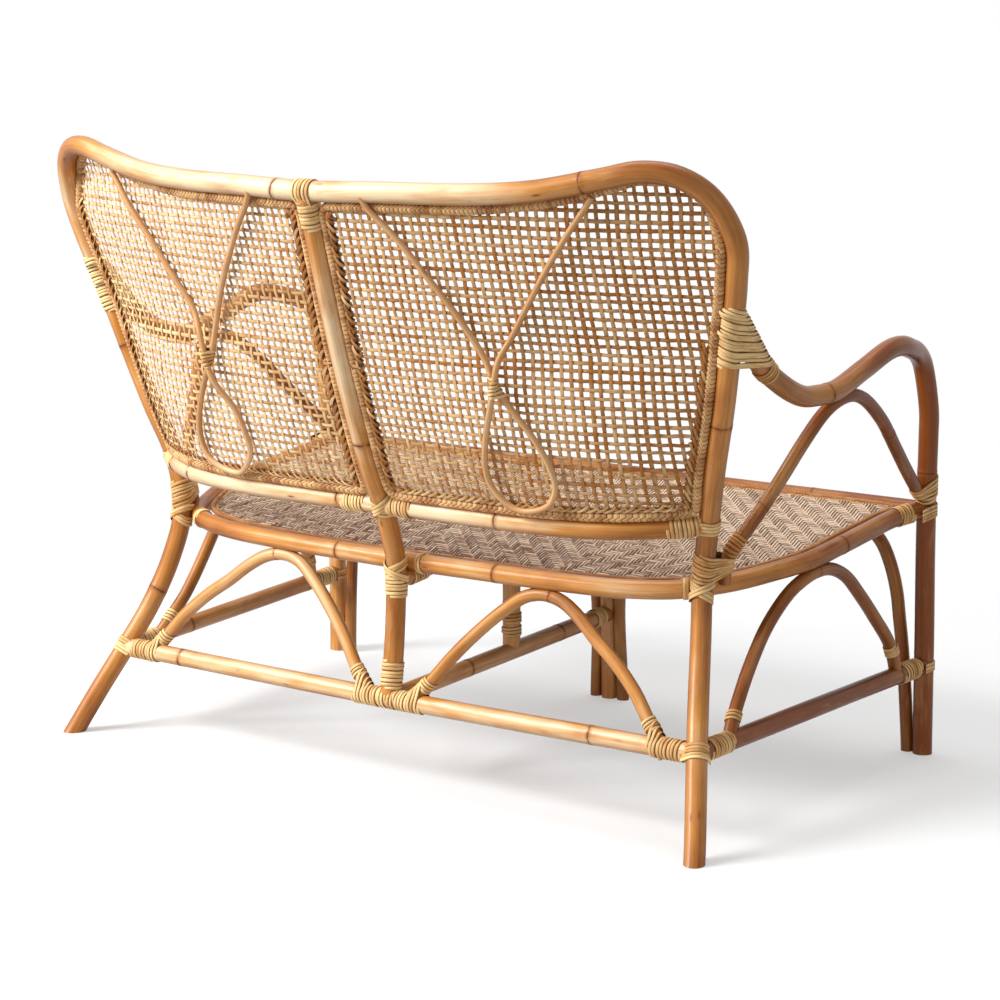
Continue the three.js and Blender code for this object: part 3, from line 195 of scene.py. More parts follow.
def pole(course, width, rings=(), facing=REAR, sides=28, tone=0.0, feet=(False, False)):
    """A bent vine: a tube along the course, swollen at its rings and sawn level where it stands.

    Radius = half the width times (1 + slow waves along and round) + a bell 0.5 mm high at each ring
    - a groove 0.45 mm deep on it. Rows near a ring lean with it; rows near a foot slide along the
    pole to the floor.
    tone darkens the vine, evenly or as (share of the length, tone) rows.
    """
    line, length = course
    first, last = 0.0, length[-1]
    if feet[0]:
        first = np.interp(0, line[:60, 2], length[:60])
    if feet[1]:
        last = np.interp(0, line[:-60:-1, 2], length[:-60:-1])
    size = width / FULL_WIDTH
    rows = [np.linspace(first, last, int((last - first) / ROW_STEP) + 2)]
    rows += [ring + RING_ROWS * size for ring in rings]
    s = np.unique(np.round(np.clip(np.concatenate(rows), first, last), 2))
    s = s[np.concatenate([[True], np.diff(s) > 0.3])]
    s[-1] = last
    angle = np.linspace(0, 2 * np.pi, sides, endpoint=False)
    phase = dice.uniform(0, 6.3, 4)
    radius = width / 2 * SKIN_SHARE * (
        1 + 0.007 * np.sin(s / 67 + phase[0])[:, None]
        + 0.005 * np.sin(2 * angle + s[:, None] / 150 + phase[1])
        + 0.003 * np.sin(3 * angle - s[:, None] / 90 + phase[2])
    )
    slide = np.zeros_like(radius)
    ring_mark = np.zeros_like(s)
    for ring in rings:
        away = (s - ring) / size
        lean = dice.uniform(0.6, 2.2) * size * np.cos(angle - dice.uniform(0, 6.3))
        slide += np.exp(-(away / 8) ** 2)[:, None] * lean
        swell = 0.5 * np.exp(-(away / 4.5) ** 2) - 0.45 * np.exp(-(away / 0.9) ** 2)
        radius += (swell * size)[:, None]
        ring_mark = np.maximum(ring_mark, 1 - np.abs(away) / 14)
    _, run, out, side = frame_along(course, s, facing)
    off = round_by(angle, out[:, None], side[:, None])
    for foot, end in zip(feet, (first, last)):
        if foot:
            share = np.clip(1 - np.abs(s - end) / (2 * width), 0, 1)[:, None]
            steep = np.where(np.abs(run[:, 2]) < 0.1, 1.0, run[:, 2])[:, None]
            slide -= share * radius * off[..., 2] / steep
    spot, _ = along(course, s[:, None] + slide)
    grid = spot + radius[..., None] * off
    for foot, i in zip(feet, (0, -1)):
        if foot:
            grid[i, :, 2] = 0
    shift = dice.uniform(0, 40, 3)
    grain = np.stack([s[:, None] + slide, radius * np.cos(angle), radius * np.sin(angle)], -1)
    grain = grain / 1000 + shift
    shade = np.interp(s / length[-1], *rows_of(tone, 1).T)
    return loft(grid, grain=grain, ring=ring_mark[:, None], tone=shade[:, None])


def material(name, **sockets):
    """A Principled material with constants on its own sockets."""
    made = bpy.data.materials.new(name)
    made.use_nodes = True
    shader = made.node_tree.nodes["Principled BSDF"]
    for word, value in sockets.items():
        shader.inputs[word.replace("_", " ")].default_value = value
    return made, made.node_tree, shader


def node(tree, kind, _links=(), _set=(), **sockets):
    """A shader node with some properties and constants set and its inputs linked."""
    made = tree.nodes.new(kind)
    for word, value in dict(_set).items():
        setattr(made, word, value)
    for word, value in sockets.items():
        made.inputs[word.replace("_", " ")].default_value = value
    for place, source in dict(_links).items():
        tree.links.new(source, made.inputs[place])
    return made


def group(name, **inputs):
    """An empty node group that takes colours and values, and puts out colour, roughness and height."""
    tree = bpy.data.node_groups.new(name, "ShaderNodeTree")
    for word, value in inputs.items():
        kind = "NodeSocketColor" if isinstance(value, tuple) else "NodeSocketFloat"
        made = tree.interface.new_socket(word.replace("_", " "), in_out="INPUT", socket_type=kind)
        made.default_value = value
    for word, kind in (("Color", "Color"), ("Roughness", "Float"), ("Height", "Float")):
        tree.interface.new_socket(word, in_out="OUTPUT", socket_type=f"NodeSocket{kind}")
    return tree, tree.nodes.new("NodeGroupInput").outputs, tree.nodes.new("NodeGroupOutput").inputs


def marked(tree, word, part="Fac"):
    """A value that the mesh carries by name."""
    return node(tree, "ShaderNodeAttribute", _set={"attribute_name": word}).outputs[part]


def stretched(tree, source, along_scale, across_scale, detail, rough):
    """Noise drawn out along the grain: scales per metre along it and across it."""
    scaled = node(tree, "ShaderNodeVectorMath", {0: source}, {"operation": "MULTIPLY"})
    scaled.inputs[1].default_value = (along_scale, across_scale, across_scale)
    return node(tree, "ShaderNodeTexNoise", {"Vector": scaled.outputs[0]}, Scale=1.0, Detail=detail,
                Roughness=rough).outputs["Fac"]


def ranged(tree, source, low, high, to_low=0.0, to_high=1.0):
    """A value mapped from one range to another, and held within it."""
    return node(tree, "ShaderNodeMapRange", {"Value": source}, From_Min=low, From_Max=high,
                To_Min=to_low, To_Max=to_high).outputs[0]


def reckoned(tree, kind, first, *others):
    """Values under one arithmetic operation, taken in turn; each may be a constant."""
    for other in others:
        made = tree.nodes.new("ShaderNodeMath")
        made.operation = kind
        for i, value in enumerate((first, other)):
            if isinstance(value, (int, float)):
                made.inputs[i].default_value = value
            else:
                tree.links.new(value, made.inputs[i])
        first = made.outputs[0]
    return first


def blended(tree, share, one, other, kind="MIX"):
    """Two colours mixed by a share; each is a socket or a constant."""
    made = tree.nodes.new("ShaderNodeMix")
    made.data_type, made.blend_type = "RGBA", kind
    for place, value in ((0, share), (6, one), (7, other)):
        if isinstance(value, (tuple, float)):
            made.inputs[place].default_value = value
        else:
            tree.links.new(value, made.inputs[place])
    return made.outputs[2]


def rattan_group():
    """Skin of a vine: long streaks, slow blotches, specks and dark rings, from its own marks."""
    tree, given, result = group(
        "rattan_skin", Pale=(0.88, 0.66, 0.36, 1), Middle=(0.64, 0.3, 0.07, 1), Deep=(0.28, 0.075, 0.004, 1),
        Stain=(0.12, 0.035, 0.01, 1), Streaks=1.0,
    )
    grain, ring, tone = marked(tree, "grain", "Vector"), marked(tree, "ring"), marked(tree, "tone")
    streak = stretched(tree, grain, 5, 170, 5, 0.62)
    fibre = stretched(tree, grain, 22, 900, 3, 0.6)
    blotch = stretched(tree, grain, 9, 26, 3, 0.5)
    slow = stretched(tree, grain, 2.2, 3, 1, 0.5)
    share = reckoned(
        tree, "ADD",
        reckoned(tree, "MULTIPLY", ranged(tree, streak, 0.34, 0.68), given["Streaks"], 0.26),
        ranged(tree, blotch, 0.4, 0.72, 0.02, 0.34),
        ranged(tree, slow, 0.35, 0.65, -0.1, 0.22),
        ranged(tree, fibre, 0.3, 0.7, 0, 0.12),
        tone,
    )
    held = node(tree, "ShaderNodeClamp", {0: share}).outputs[0]
    colour = blended(tree, ranged(tree, held, 0, 0.45), given["Pale"], given["Middle"])
    colour = blended(tree, ranged(tree, held, 0.45, 1), colour, given["Deep"])
    # Pale patches at random along the grain.
    pale_patch = ranged(tree, stretched(tree, grain, 7, 30, 3, 0.6), 0.56, 0.74, 0, 0.4)
    colour = blended(tree, pale_patch, colour, (0.74, 0.47, 0.22, 1))
    red = ranged(tree, stretched(tree, grain, 14, 60, 2, 0.5), 0.56, 0.74, 0, 0.45)
    colour = blended(tree, red, colour, (0.46, 0.15, 0.04, 1))
    cells = node(tree, "ShaderNodeVectorMath", {0: grain}, {"operation": "MULTIPLY"})
    cells.inputs[1].default_value = (22, 75, 75)
    speck = node(tree, "ShaderNodeTexVoronoi", {"Vector": cells.outputs[0]}, Scale=1.0, Randomness=1.0)
    rare = node(tree, "ShaderNodeSeparateColor", {0: speck.outputs["Color"]}).outputs[0]
    mark = reckoned(tree, "MULTIPLY", ranged(tree, speck.outputs["Distance"], 0.2, 0.06),
                    ranged(tree, rare, 0.84, 0.93, 0, 0.8))
    colour = blended(tree, mark, colour, given["Stain"])
    broken = ranged(tree, stretched(tree, grain, 90, 90, 2, 0.6), 0.34, 0.56, 0.2, 1)
    halo = reckoned(tree, "MULTIPLY", ranged(tree, ring, 0.5, 0.92, 0, 0.75), broken)
    colour = blended(tree, halo, colour, (0.3, 0.085, 0.015, 1))
    line = reckoned(tree, "MULTIPLY", ranged(tree, ring, 0.86, 0.95, 0, 0.9), broken)
    tree.links.new(blended(tree, line, colour, given["Stain"]), result["Color"])
    dull = reckoned(tree, "MULTIPLY", halo, 0.4)
    rough = reckoned(tree, "ADD", ranged(tree, blotch, 0.3, 0.7, 0.3, 0.46), dull)
    tree.links.new(rough, result["Roughness"])
    fine, coarse, pit = (
        reckoned(tree, "MULTIPLY", value, part) for value, part in ((fibre, 0.5), (streak, 0.35), (mark, 0.4))
    )
    height = reckoned(tree, "SUBTRACT", reckoned(tree, "ADD", fine, coarse), pit)
    tree.links.new(height, result["Height"])
    return tree


RATTAN = rattan_group()
# STAIN marks the vine's specks and rings; the rim tint and share set the painted shade on a pole's
# turned-away sides.
STAIN, RIM_SHADE_TINT, RIM_SHADE_SHARE = (0.13, 0.03, 0.006, 1), (0.34, 0.2, 0.12, 1), 0.85


def rattan(name, pale, middle, deep, streaks=1.0, **sockets):
    """Varnished rattan in three tones under a coat, with painted shade that deepens the colour where the
    surface turns away.
    """
    made, tree, shader = material(name, **sockets)
    skin = node(tree, "ShaderNodeGroup", _set={"node_tree": RATTAN}, Pale=(*pale, 1), Middle=(*middle, 1),
                Deep=(*deep, 1), Stain=STAIN, Streaks=streaks)
    # Painted shade: the colour is multiplied down toward the rims, where the pole turns away from the view.
    turned = node(tree, "ShaderNodeLayerWeight", Blend=0.5).outputs["Facing"]
    away = ranged(tree, turned, 0.3, 0.92, 0, RIM_SHADE_SHARE)
    deeper = blended(tree, away, skin.outputs["Color"], RIM_SHADE_TINT, "MULTIPLY")
    tree.links.new(deeper, shader.inputs["Base Color"])
    tree.links.new(skin.outputs["Roughness"], shader.inputs["Roughness"])
    bump = node(tree, "ShaderNodeBump", {"Height": skin.outputs["Height"]}, Strength=0.22, Distance=0.0006)
    tree.links.new(bump.outputs[0], shader.inputs["Normal"])
    return made


pole_skin = rattan("varnished_rattan", (0.9, 0.68, 0.42), (0.64, 0.27, 0.058), (0.24, 0.058, 0.004),
                   Coat_Weight=0.12, Coat_Roughness=0.14, Specular_IOR_Level=0.25)
course = {}


def raise_pole(name, rows, skin, *shape, ending="pole", slot="pole"):
    """Bend a pole through its points and set it over the CAD node of the same name."""
    course[name] = centre_line(rows)
    add_piece(f"{name}_{ending}", [pole(course[name], *shape)], skin, [name])


raise_pole("back_hoop", HOOP_HALF + mirrored(HOOP_HALF[:-1])[::-1], pole_skin, HOOP_WIDTH, HOOP_RINGS, REAR,
           32, HOOP_TONE_AND_LIGHT, (True, True))


# The arms are two more thick poles, one a side: nailed to the hoop, dipped, bent over the front and
# carried down to the floor as the front legs.
ARM_WIDTH = 30
ARM_LEFT = [
    (556.3, 184.9, 690.6), (559.1, 156.1, 668.1), (563.2, 96.2, 622.9), (567.8, 28.1, 591.2),
    (571.9, -8.5, 587.6), (578.3, -45.9, 590.3), (581.7, -117.7, 610.2), (585.8, -189.5, 631.9),
    (585.8, -226.9, 632.8), (580, -263.6, 624.7), (573, -298, 614.7), (569, -325.7, 593.9),
    (569, -349.6, 523.4), (567.2, -354.1, 486.4), (564.9, -357.8, 420.4), (562.6, -363.1, 373.4),
    (560.3, -369, 298.3), (560.3, -373.5, 180.8), (561.4, -375.8, 0), (562, -375.8, -27.1),
]
# Leaf rings and tone of each arm; the right arm's deeper tone, darkest toward its foot, is painted shade on
# the side turned from the light.
ARM_MARKS = {
    "left": ((310, 770), 0.15),
    "right": ((245, 728), [(0, 0.4), (0.45, 0.55), (0.7, 0.8), (1, 0.85)]),
}
FLIPS = {"left": list, "right": mirrored}
for word, flip in FLIPS.items():
    rings, tone = ARM_MARKS[word]
    raise_pole(f"arm_{word}", flip(ARM_LEFT), pole_skin, ARM_WIDTH, rings, SIDEWAYS, 32, tone, (False, True))


# The floor frame and the uprights in the middle: straight poles of 27 to 28 mm, sawn to length,
# butted against the legs and nailed before the cane goes round each joint.
# Width, ends, leaf rings, the way its seam faces, tone; the right stretcher's deeper tone is painted shade.
STRAIGHT_POLES = {
    "rear_stretcher": (27.5, [(509.9, 200.9, 125.7), (0, 200.9, 122), (-509.9, 200.9, 125.7)], (112, 860), UP,
                       -0.2),
    "side_stretcher_left": (27.5, [(517.9, 193.5, 125.8), (559.9, -366.9, 136)], (148, 470), UP, 0.1),
    "side_stretcher_right": (27.5, [(-517.9, 193.5, 125.8), (-559.9, -366.9, 136)], (492,), UP, 0.75),
    "front_rail": (27.5, [(555.1, -363.1, 372.7), (-555.1, -363.1, 372.7)], (240, 610, 930), UP, 0.5),
    "middle_stretcher": (27.5, [(0, 194.1, 122.3), (0, -364.9, 139.9)], (180, 420), UP, 0.12),
    "seat_crossbar": (27, [(0, 176, 293.7), (0, -357.2, 341.9)], (260,), UP, 0.1),
    "front_post": (27, [(0, -378.1, -27), (0, -363.1, 362.9)], (255,), REAR, 0.15),
    "short_post": (28, [(0, -102, 138.5), (0, -102, 312.1)], (66,), REAR, 0.1),
}
for name, (width, rows, rings, facing, tone) in STRAIGHT_POLES.items():
    raise_pole(name, rows, pole_skin, width, rings, facing, 28, tone, (name == "front_post", False))


# The centre post runs from the top rail to the rear stretcher in one bent pole. A lower back rail
# on each side of it carries the woven panel and curves in to the hoop.
POST_WIDTH = 30
POST = [
    (0, 373, 854.4), (0, 355.8, 799.1), (0, 324.4, 692.5), (0, 292.9, 595.7), (0, 265.3, 521.6),
    (0, 239.1, 455.6), (0, 213.7, 409.5), (0, 197.2, 365.2), (0, 184.5, 320.9), (0, 185.2, 258.5),
    (0, 192, 179.9), (0, 199.9, 128.8),
]
RAIL_WIDTH = 27.5
RAIL_LEFT = [
    (7.5, 213.2, 408.6), (62.7, 213.2, 408.6), (168.7, 213, 408.6), (265.1, 209.8, 409),
    (337.3, 200.3, 410.3), (385.5, 186.1, 412.1), (419.3, 170, 414.1), (448.2, 150.8, 416.5),
    (476.4, 125.4, 419.7),
]
POST_TONE = [(0, 0.1), (0.32, -0.1), (0.6, 0.1), (0.75, 0.3), (1, 0.15)]
RAIL_MARKS = {"left": ((67, 374), -0.3), "right": ((195,), [(0, -0.35), (0.5, -0.1), (0.8, 0.15), (1, 0.1)])}
raise_pole("centre_post", POST, pole_skin, POST_WIDTH, (368,), SIDEWAYS, 32, POST_TONE)
for word, flip in FLIPS.items():
    rings, tone = RAIL_MARKS[word]
    raise_pole(f"back_rail_{word}", flip(RAIL_LEFT), pole_skin, RAIL_WIDTH, rings, UP, 28, tone)


# The seat hoop is a pole bent to the plan of the seat: from arm to arm round the rear, where it
# passes in front of the rear legs and the centre post.
SEAT_WIDTH = 27.5
SEAT_HALF = [
    (560, -356.1, 374.8), (542.3, -307.7, 368.8), (537.7, -227.7, 360.2), (535.3, -147.6, 351.6),
    (529, -67.6, 342.7), (508.7, -7.8, 335.9), (483.1, 52.1, 329.5), (455.6, 95.8, 326.3),
    (429.2, 113.4, 322.7), (400.2, 126.9, 320.9), (339.9, 141.8, 318.7), (240.1, 151.6, 317.8),
    (120.1, 156.8, 317.8), (0, 158.3, 317.3),
]
SEAT_RINGS = (260, 818, 1100, 1676)
SEAT_TONE = [(0, 0.2), (0.2, 0.4), (0.35, 0.12), (0.6, 0.15), (0.68, 0.05), (0.75, 0.4), (1, 0.65)]
raise_pole("seat_hoop", SEAT_HALF + mirrored(SEAT_HALF[:-1])[::-1], pole_skin, SEAT_WIDTH, SEAT_RINGS, UP, 30,
           SEAT_TONE)


# Thin bent arches stiffen every bay: under the seat at the rear and the sides, under each arm, and
# at the front an upside-down U on each side of the middle leg. The same vine, about 20 mm thick.
ARCH_WIDTH = 19.5
FRONT_ARCH_WIDTH = 20.5
ARCHES_LEFT = {
    "rear_arch": [
        (36, 200.9, 123.2), (65, 192.6, 152.8), (99.8, 180.4, 196.3), (135.7, 169.7, 234.6),
        (172.3, 160.4, 267.6), (204.2, 154.1, 290.3), (234.9, 152.1, 297.2), (266.8, 153.6, 292),
        (298.7, 158.5, 274.6), (332.3, 165.8, 248.5), (369.5, 173.1, 222.4), (406, 182.1, 190.2),
        (437.9, 192.6, 152.8), (464, 200.9, 123.2)],
    "side_arch": [
        (520.5, 124, 127.5), (514.5, 103, 152), (509.5, 74, 183), (508, 50.6, 211.5), (510.6, 8.5, 262),
        (520.3, -33.5, 302.4), (528.7, -62, 319.1), (532.7, -93, 325.3), (534.9, -127, 322.5),
        (537.6, -165, 305.8), (540.7, -203, 272.4), (544.9, -240, 233.7), (550.9, -283, 181.2),
        (554.7, -296.9, 134.7)],
    "arm_arch": [
        (480.2, 76.8, 331.9), (486, 79, 362.7), (491.8, 77.5, 378.8), (501.1, 65.5, 396.4),
        (520.3, 43.1, 436.2), (534.8, 15.4, 476.8), (550.4, -11.5, 520.4), (565.5, -39.2, 558.3),
        (573, -60.1, 572.6), (578.3, -88.5, 578.5), (578.8, -125.9, 570.2), (576.5, -185.8, 533.4),
        (570.7, -242.6, 484.6), (565.5, -286, 447.6), (561.4, -327.9, 413.2), (559.7, -350.3, 397.1)],
    "front_arch": [
        (535.9, -377, -10.5), (535.9, -377, 0), (531.9, -374, 78.5), (526.1, -371.1, 155.2),
        (520.8, -369.3, 201.6), (515, -367.6, 246.9), (503.4, -366, 288.1), (488.4, -364.8, 318),
        (464, -364, 339), (429.2, -363.7, 348.7), (348, -363.7, 348.7), (261, -363.7, 348.7),
        (174, -363.7, 348.7), (110.2, -363.7, 348.7), (75.4, -364, 339), (51, -364.8, 318),
        (36, -366.1, 286), (29, -367.7, 244.1), (20.8, -371.4, 146.4), (25.8, -377, 0),
        (25.8, -377, -20.5)],
}
ARCH_RINGS = {"rear_arch": (288,), "side_arch": (300,), "arm_arch": (123, 480), "front_arch": (520, 850)}
# Tone of each side's arches: the right side's deeper value is painted shade on the side turned from the
# light.
ARCH_TONE_AND_SHADE, ARCH_DARKER = {"left": 0.12, "right": 0.3}, 0.28
arch_skin = rattan("thin_rattan", (0.88, 0.66, 0.4), (0.62, 0.27, 0.065), (0.23, 0.06, 0.005), streaks=1.1,
                   Coat_Weight=0.1, Coat_Roughness=0.2, Specular_IOR_Level=0.25)
for word, flip in FLIPS.items():
    for kind, rows in ARCHES_LEFT.items():
        facing = SIDEWAYS if kind in ("side_arch", "arm_arch") else REAR
        stands = kind == "front_arch"
        width = FRONT_ARCH_WIDTH if stands else ARCH_WIDTH
        tone = ARCH_TONE_AND_SHADE[word] + (0 if kind == "rear_arch" else ARCH_DARKER) + dice.uniform(-0.08, 0.08)
        raise_pole(f"{kind}_{word}", flip(rows), arch_skin, width, ARCH_RINGS[kind], facing, 22, tone,
                   (stands, stands), ending="cane", slot="arch")


# Each half of the back is edged with a thin rod wound closely with split cane. The rod follows the
# opening left by hoop, post and rail, and carries the ends of the woven strands.
BACK_ROWS = np.array([
    # height, y at the post, y at the side, x at the side
    (420, 219, 120.3, 481.8), (450, 236.3, 128, 489.4), (480, 249.5, 137.6, 498.2),
    (520, 264.6, 148.3, 509.7), (560, 280, 157.3, 521.2), (600, 294.4, 166.6, 532.1),
    (640, 307.8, 176.4, 542), (680, 320.5, 186.7, 551.7), (720, 332.6, 197.7, 562.3),
    (760, 344.3, 209.1, 571.8), (800, 356, 220.4, 579.3), (840, 368.5, 222.9, 579.7),
    (870, 373, 222.9, 579.7),
])
BOW_LOW, BOW_HIGH, POST_TOP = 411.3, 650.9, 854.35
BACK_EDGE = [
    (20.4, 619.8), (20.4, 719.9), (20.4, 805.4), (20.6, 830), (27.5, 840.4), (46.2, 842), (92.9, 843.1),
    (161.8, 844.3), (230.6, 845.3), (275.9, 848), (320.6, 852.7), (364.4, 860.4), (407.8, 870.9),
    (451.2, 884.1), (475.8, 891.3), (501.6, 891.1), (524.1, 882.3), (539.9, 867.6), (549.6, 848.4),
    (555.7, 826.6), (559.7, 803.6), (552.2, 759.1), (541.6, 715.3), (530.3, 671.9), (520.2, 627.9),
    (510, 583.7), (498.6, 539.7), (486.8, 495.7), (481.1, 474.1), (476.6, 455), (471.5, 441.5), (458, 436.6),
    (416.7, 433.6), (374.5, 431.1), (329.9, 429.3), (261, 427.9), (168.6, 427.4), (99.2, 427.3),
    (52.6, 427.3), (30.5, 427.8), (22, 435), (20.4, 454.5), (20.4, 519.9), (20.4, 619.8),
]
# Radius of the wound rod and pitch of its turns down the side, along the post and along the bottom.
ROD_SIDE, ROD_POST, ROD_BOTTOM = (7.3, 6.4), (5.9, 6.2), (7.8, 8.6)


def on_back(x, z, lift=0.0):
    """Points of the woven back, and the way out of it to the rear.

    y falls from the post to the side by the share of the half width raised to a bow; the bow eases
    from boxy at the bottom to round higher up.
    """
    def y_at(x, z):
        middle, edge, reach = np.moveaxis(between(z, BACK_ROWS[:, 0], BACK_ROWS[:, 1:]), -1, 0)
        bow = 5.5 - 3.5 * np.clip((z - BOW_LOW) / (BOW_HIGH - BOW_LOW), 0, 1)
        return middle + 0.3 * np.maximum(0, z - POST_TOP) - (middle - edge) * (np.abs(x) / reach) ** bow

    x, z = np.broadcast_arrays(np.asarray(x, float), np.asarray(z, float))
    y = y_at(x, z)
    across, down = y_at(x - 4, z) - y_at(x + 4, z), y_at(x, z - 4) - y_at(x, z + 4)
    out = unit(np.stack([across, np.full_like(y, 8.0), down], -1))
    return np.stack([x, y, z], -1) + out * np.asarray(lift)[..., None], out


def wound_rod(course, radius, pitch, facing, sides=10, proud=0.15, tone=0.0):
    """A rod under close turns of half-round cane.

    The rows of the skin follow the helix, so each turn is the same few rows: radius = the rod's +
    a half round over every pitch. radius and pitch may be arrays of (length, value) rows.
    """
    length = course[1]
    pitches, radii = rows_of(pitch, length[-1]), rows_of(radius, length[-1])
    steps = np.linspace(0, length[-1], 4000)
    wound = np.concatenate([[0], np.cumsum(np.diff(steps) / np.interp(steps[1:], *pitches.T))])
    profile = np.array([0.0, 0.14, 0.38, 0.62, 0.86])
    turn = (np.arange(int(wound[-1]))[:, None] + profile).ravel()
    share = np.arange(sides) / sides
    phase = np.clip(turn[:, None] + share - 0.5, 0, wound[-1])
    s = np.interp(phase, wound, steps)
    bulge = np.sqrt(np.maximum(0, 1 - (2 * (turn % 1) - 1) ** 2))[:, None]
    uneven = np.sin(np.floor(turn) * 2.399)[:, None] * 0.12
    radius = np.interp(s, *radii.T)
    r = radius * (1 - proud) + radius * proud * bulge * (1 + uneven) + 0.15 * np.sin(s / 23)
    angle = 2 * np.pi * share
    spot, _, out, side = frame_along(course, s, facing)
    off = round_by(angle, out, side)
    hashed = np.modf(np.sin(np.floor(turn) * 12.9898) * 43758.5)[0][:, None]
    grain = np.stack([share * 2 * np.pi * radius + turn[:, None] * 31, s, 0 * s], -1) / 1000
    # edge: painted shade in the groove between two turns of cane.
    return loft(spot + r[..., None] * off, grain=grain, tone=tone + 0.38 * hashed,
                edge=np.clip(1.5 * (1 - bulge), 0, 1) * np.ones_like(s))


def cane_group():
    """Split cane: fibres along the strip, slow stains, and a darker line at each edge that is painted shade
    for the gaps between strips.
    """
    tree, given, result = group(
        "split_cane", Pale=(0.8, 0.6, 0.3, 1), Deep=(0.5, 0.27, 0.09, 1), Edge=(0.12, 0.05, 0.015, 1),
        Edge_Share=0.8, Edge_From=0.55,
    )
    grain, edge, tone = marked(tree, "grain", "Vector"), marked(tree, "edge"), marked(tree, "tone")
    fibre = stretched(tree, grain, 30, 1100, 3, 0.6)
    stain = stretched(tree, grain, 45, 90, 3, 0.55)
    slow = stretched(tree, grain, 9, 12, 2, 0.5)
    share = reckoned(
        tree, "ADD",
        ranged(tree, fibre, 0.3, 0.7, 0, 0.35),
        ranged(tree, stain, 0.42, 0.75, 0, 0.6),
        ranged(tree, slow, 0.4, 0.65, -0.1, 0.25),
        tone,
    )
    colour = blended(tree, node(tree, "ShaderNodeClamp", {0: share}).outputs[0], given["Pale"], given["Deep"])
    # The highest tones sink toward the dark edge colour, for the darkest strands such as the plaits' under
    # rows: partly stain, partly painted shade.
    colour = blended(tree, ranged(tree, tone, 0.95, 1.6, 0, 0.85), colour, given["Edge"])
    # Painted shade: a dark line along each edge of a strip, broken up by noise, for the gaps between strips
    # and turns.
    patchy = ranged(tree, stretched(tree, grain, 120, 120, 1, 0.5), 0.3, 0.6, 0.6, 1)
    near = node(tree, "ShaderNodeMapRange", {"Value": edge, "From Min": given["Edge From"]}).outputs[0]
    line = reckoned(tree, "MULTIPLY", near, given["Edge Share"], patchy)
    tree.links.new(blended(tree, line, colour, given["Edge"]), result["Color"])
    tree.links.new(ranged(tree, stain, 0.3, 0.7, 0.42, 0.6), result["Roughness"])
    tree.links.new(reckoned(tree, "ADD", fibre, reckoned(tree, "MULTIPLY", stain, 0.4)), result["Height"])
    return tree


CANE = cane_group()


def cane(name, pale, deep, edge, gap_shade_share, gap_shade_from=0.55, **sockets):
    """Split cane in two tones with a dark edge of painted shade, satin; the edge colour is that shade's."""
    made, tree, shader = material(name, **sockets)
    skin = node(tree, "ShaderNodeGroup", _set={"node_tree": CANE}, Pale=(*pale, 1), Deep=(*deep, 1),
                Edge=(*edge, 1), Edge_Share=gap_shade_share, Edge_From=gap_shade_from)
    tree.links.new(skin.outputs["Color"], shader.inputs["Base Color"])
    tree.links.new(skin.outputs["Roughness"], shader.inputs["Roughness"])
    raised = node(tree, "ShaderNodeBump", {"Height": skin.outputs["Height"]}, Strength=0.3, Distance=0.0004)
    tree.links.new(raised.outputs[0], shader.inputs["Normal"])
    return made


rod_skin = cane("rod_winding", (0.8, 0.48, 0.21), (0.33, 0.11, 0.026), (0.04, 0.012, 0.004), 1.0,
                Specular_IOR_Level=0.3)
SIDES = {"left": 1, "right": -1}
EDGE_CORNERS = ((46, 842), (458, 437), (30, 428))
edge_marks, flat_edges = {}, {}
for word, side in SIDES.items():
    flat = centre_line([(side * x, 0, z) for x, z in BACK_EDGE])[0][:, [0, 2]]
    line = on_back(flat[:, 0], flat[:, 1])[0]
    length = lengths_of(line)
    course[f"back_edge_{word}"] = (line, length)
    flat_edges[word] = (flat, length)
    top, bottom, post = edge_marks[word] = [
        length[np.argmin(np.hypot(flat[:, 0] - side * x, flat[:, 1] - z))] for x, z in EDGE_CORNERS
    ]
    stops = [
        (0, ROD_POST), (top - 30, ROD_POST), (top + 10, ROD_SIDE), (bottom - 25, ROD_SIDE),
        (bottom + 15, ROD_BOTTOM), (post - 15, ROD_BOTTOM), (post + 25, ROD_POST), (length[-1], ROD_POST),
    ]
    radii, pitches = ([(s, values[k]) for s, values in stops] for k in (0, 1))
    add_piece(f"back_edge_rod_{word}", [wound_rod(course[f"back_edge_{word}"], radii, pitches, REAR, 12)],
              rod_skin, [f"back_rope_{word}"])


# The woven back: flat strands of split cane, one over one, uprights and crossways. Their ends are
# turned round the edge rod and plaited back on themselves along the post and the bottom.
STRAND_WIDTH, STRAND_THICK, STRAND_REST = 5.4, 1.0, 0.66
UPRIGHT_PITCH, CROSS_PITCH = 12.7, 12.0
FIRST_UPRIGHT, FIRST_CROSS, EDGE_TUCK, LEAST_STRAND = 32.2, 440.3, 3.0, 20


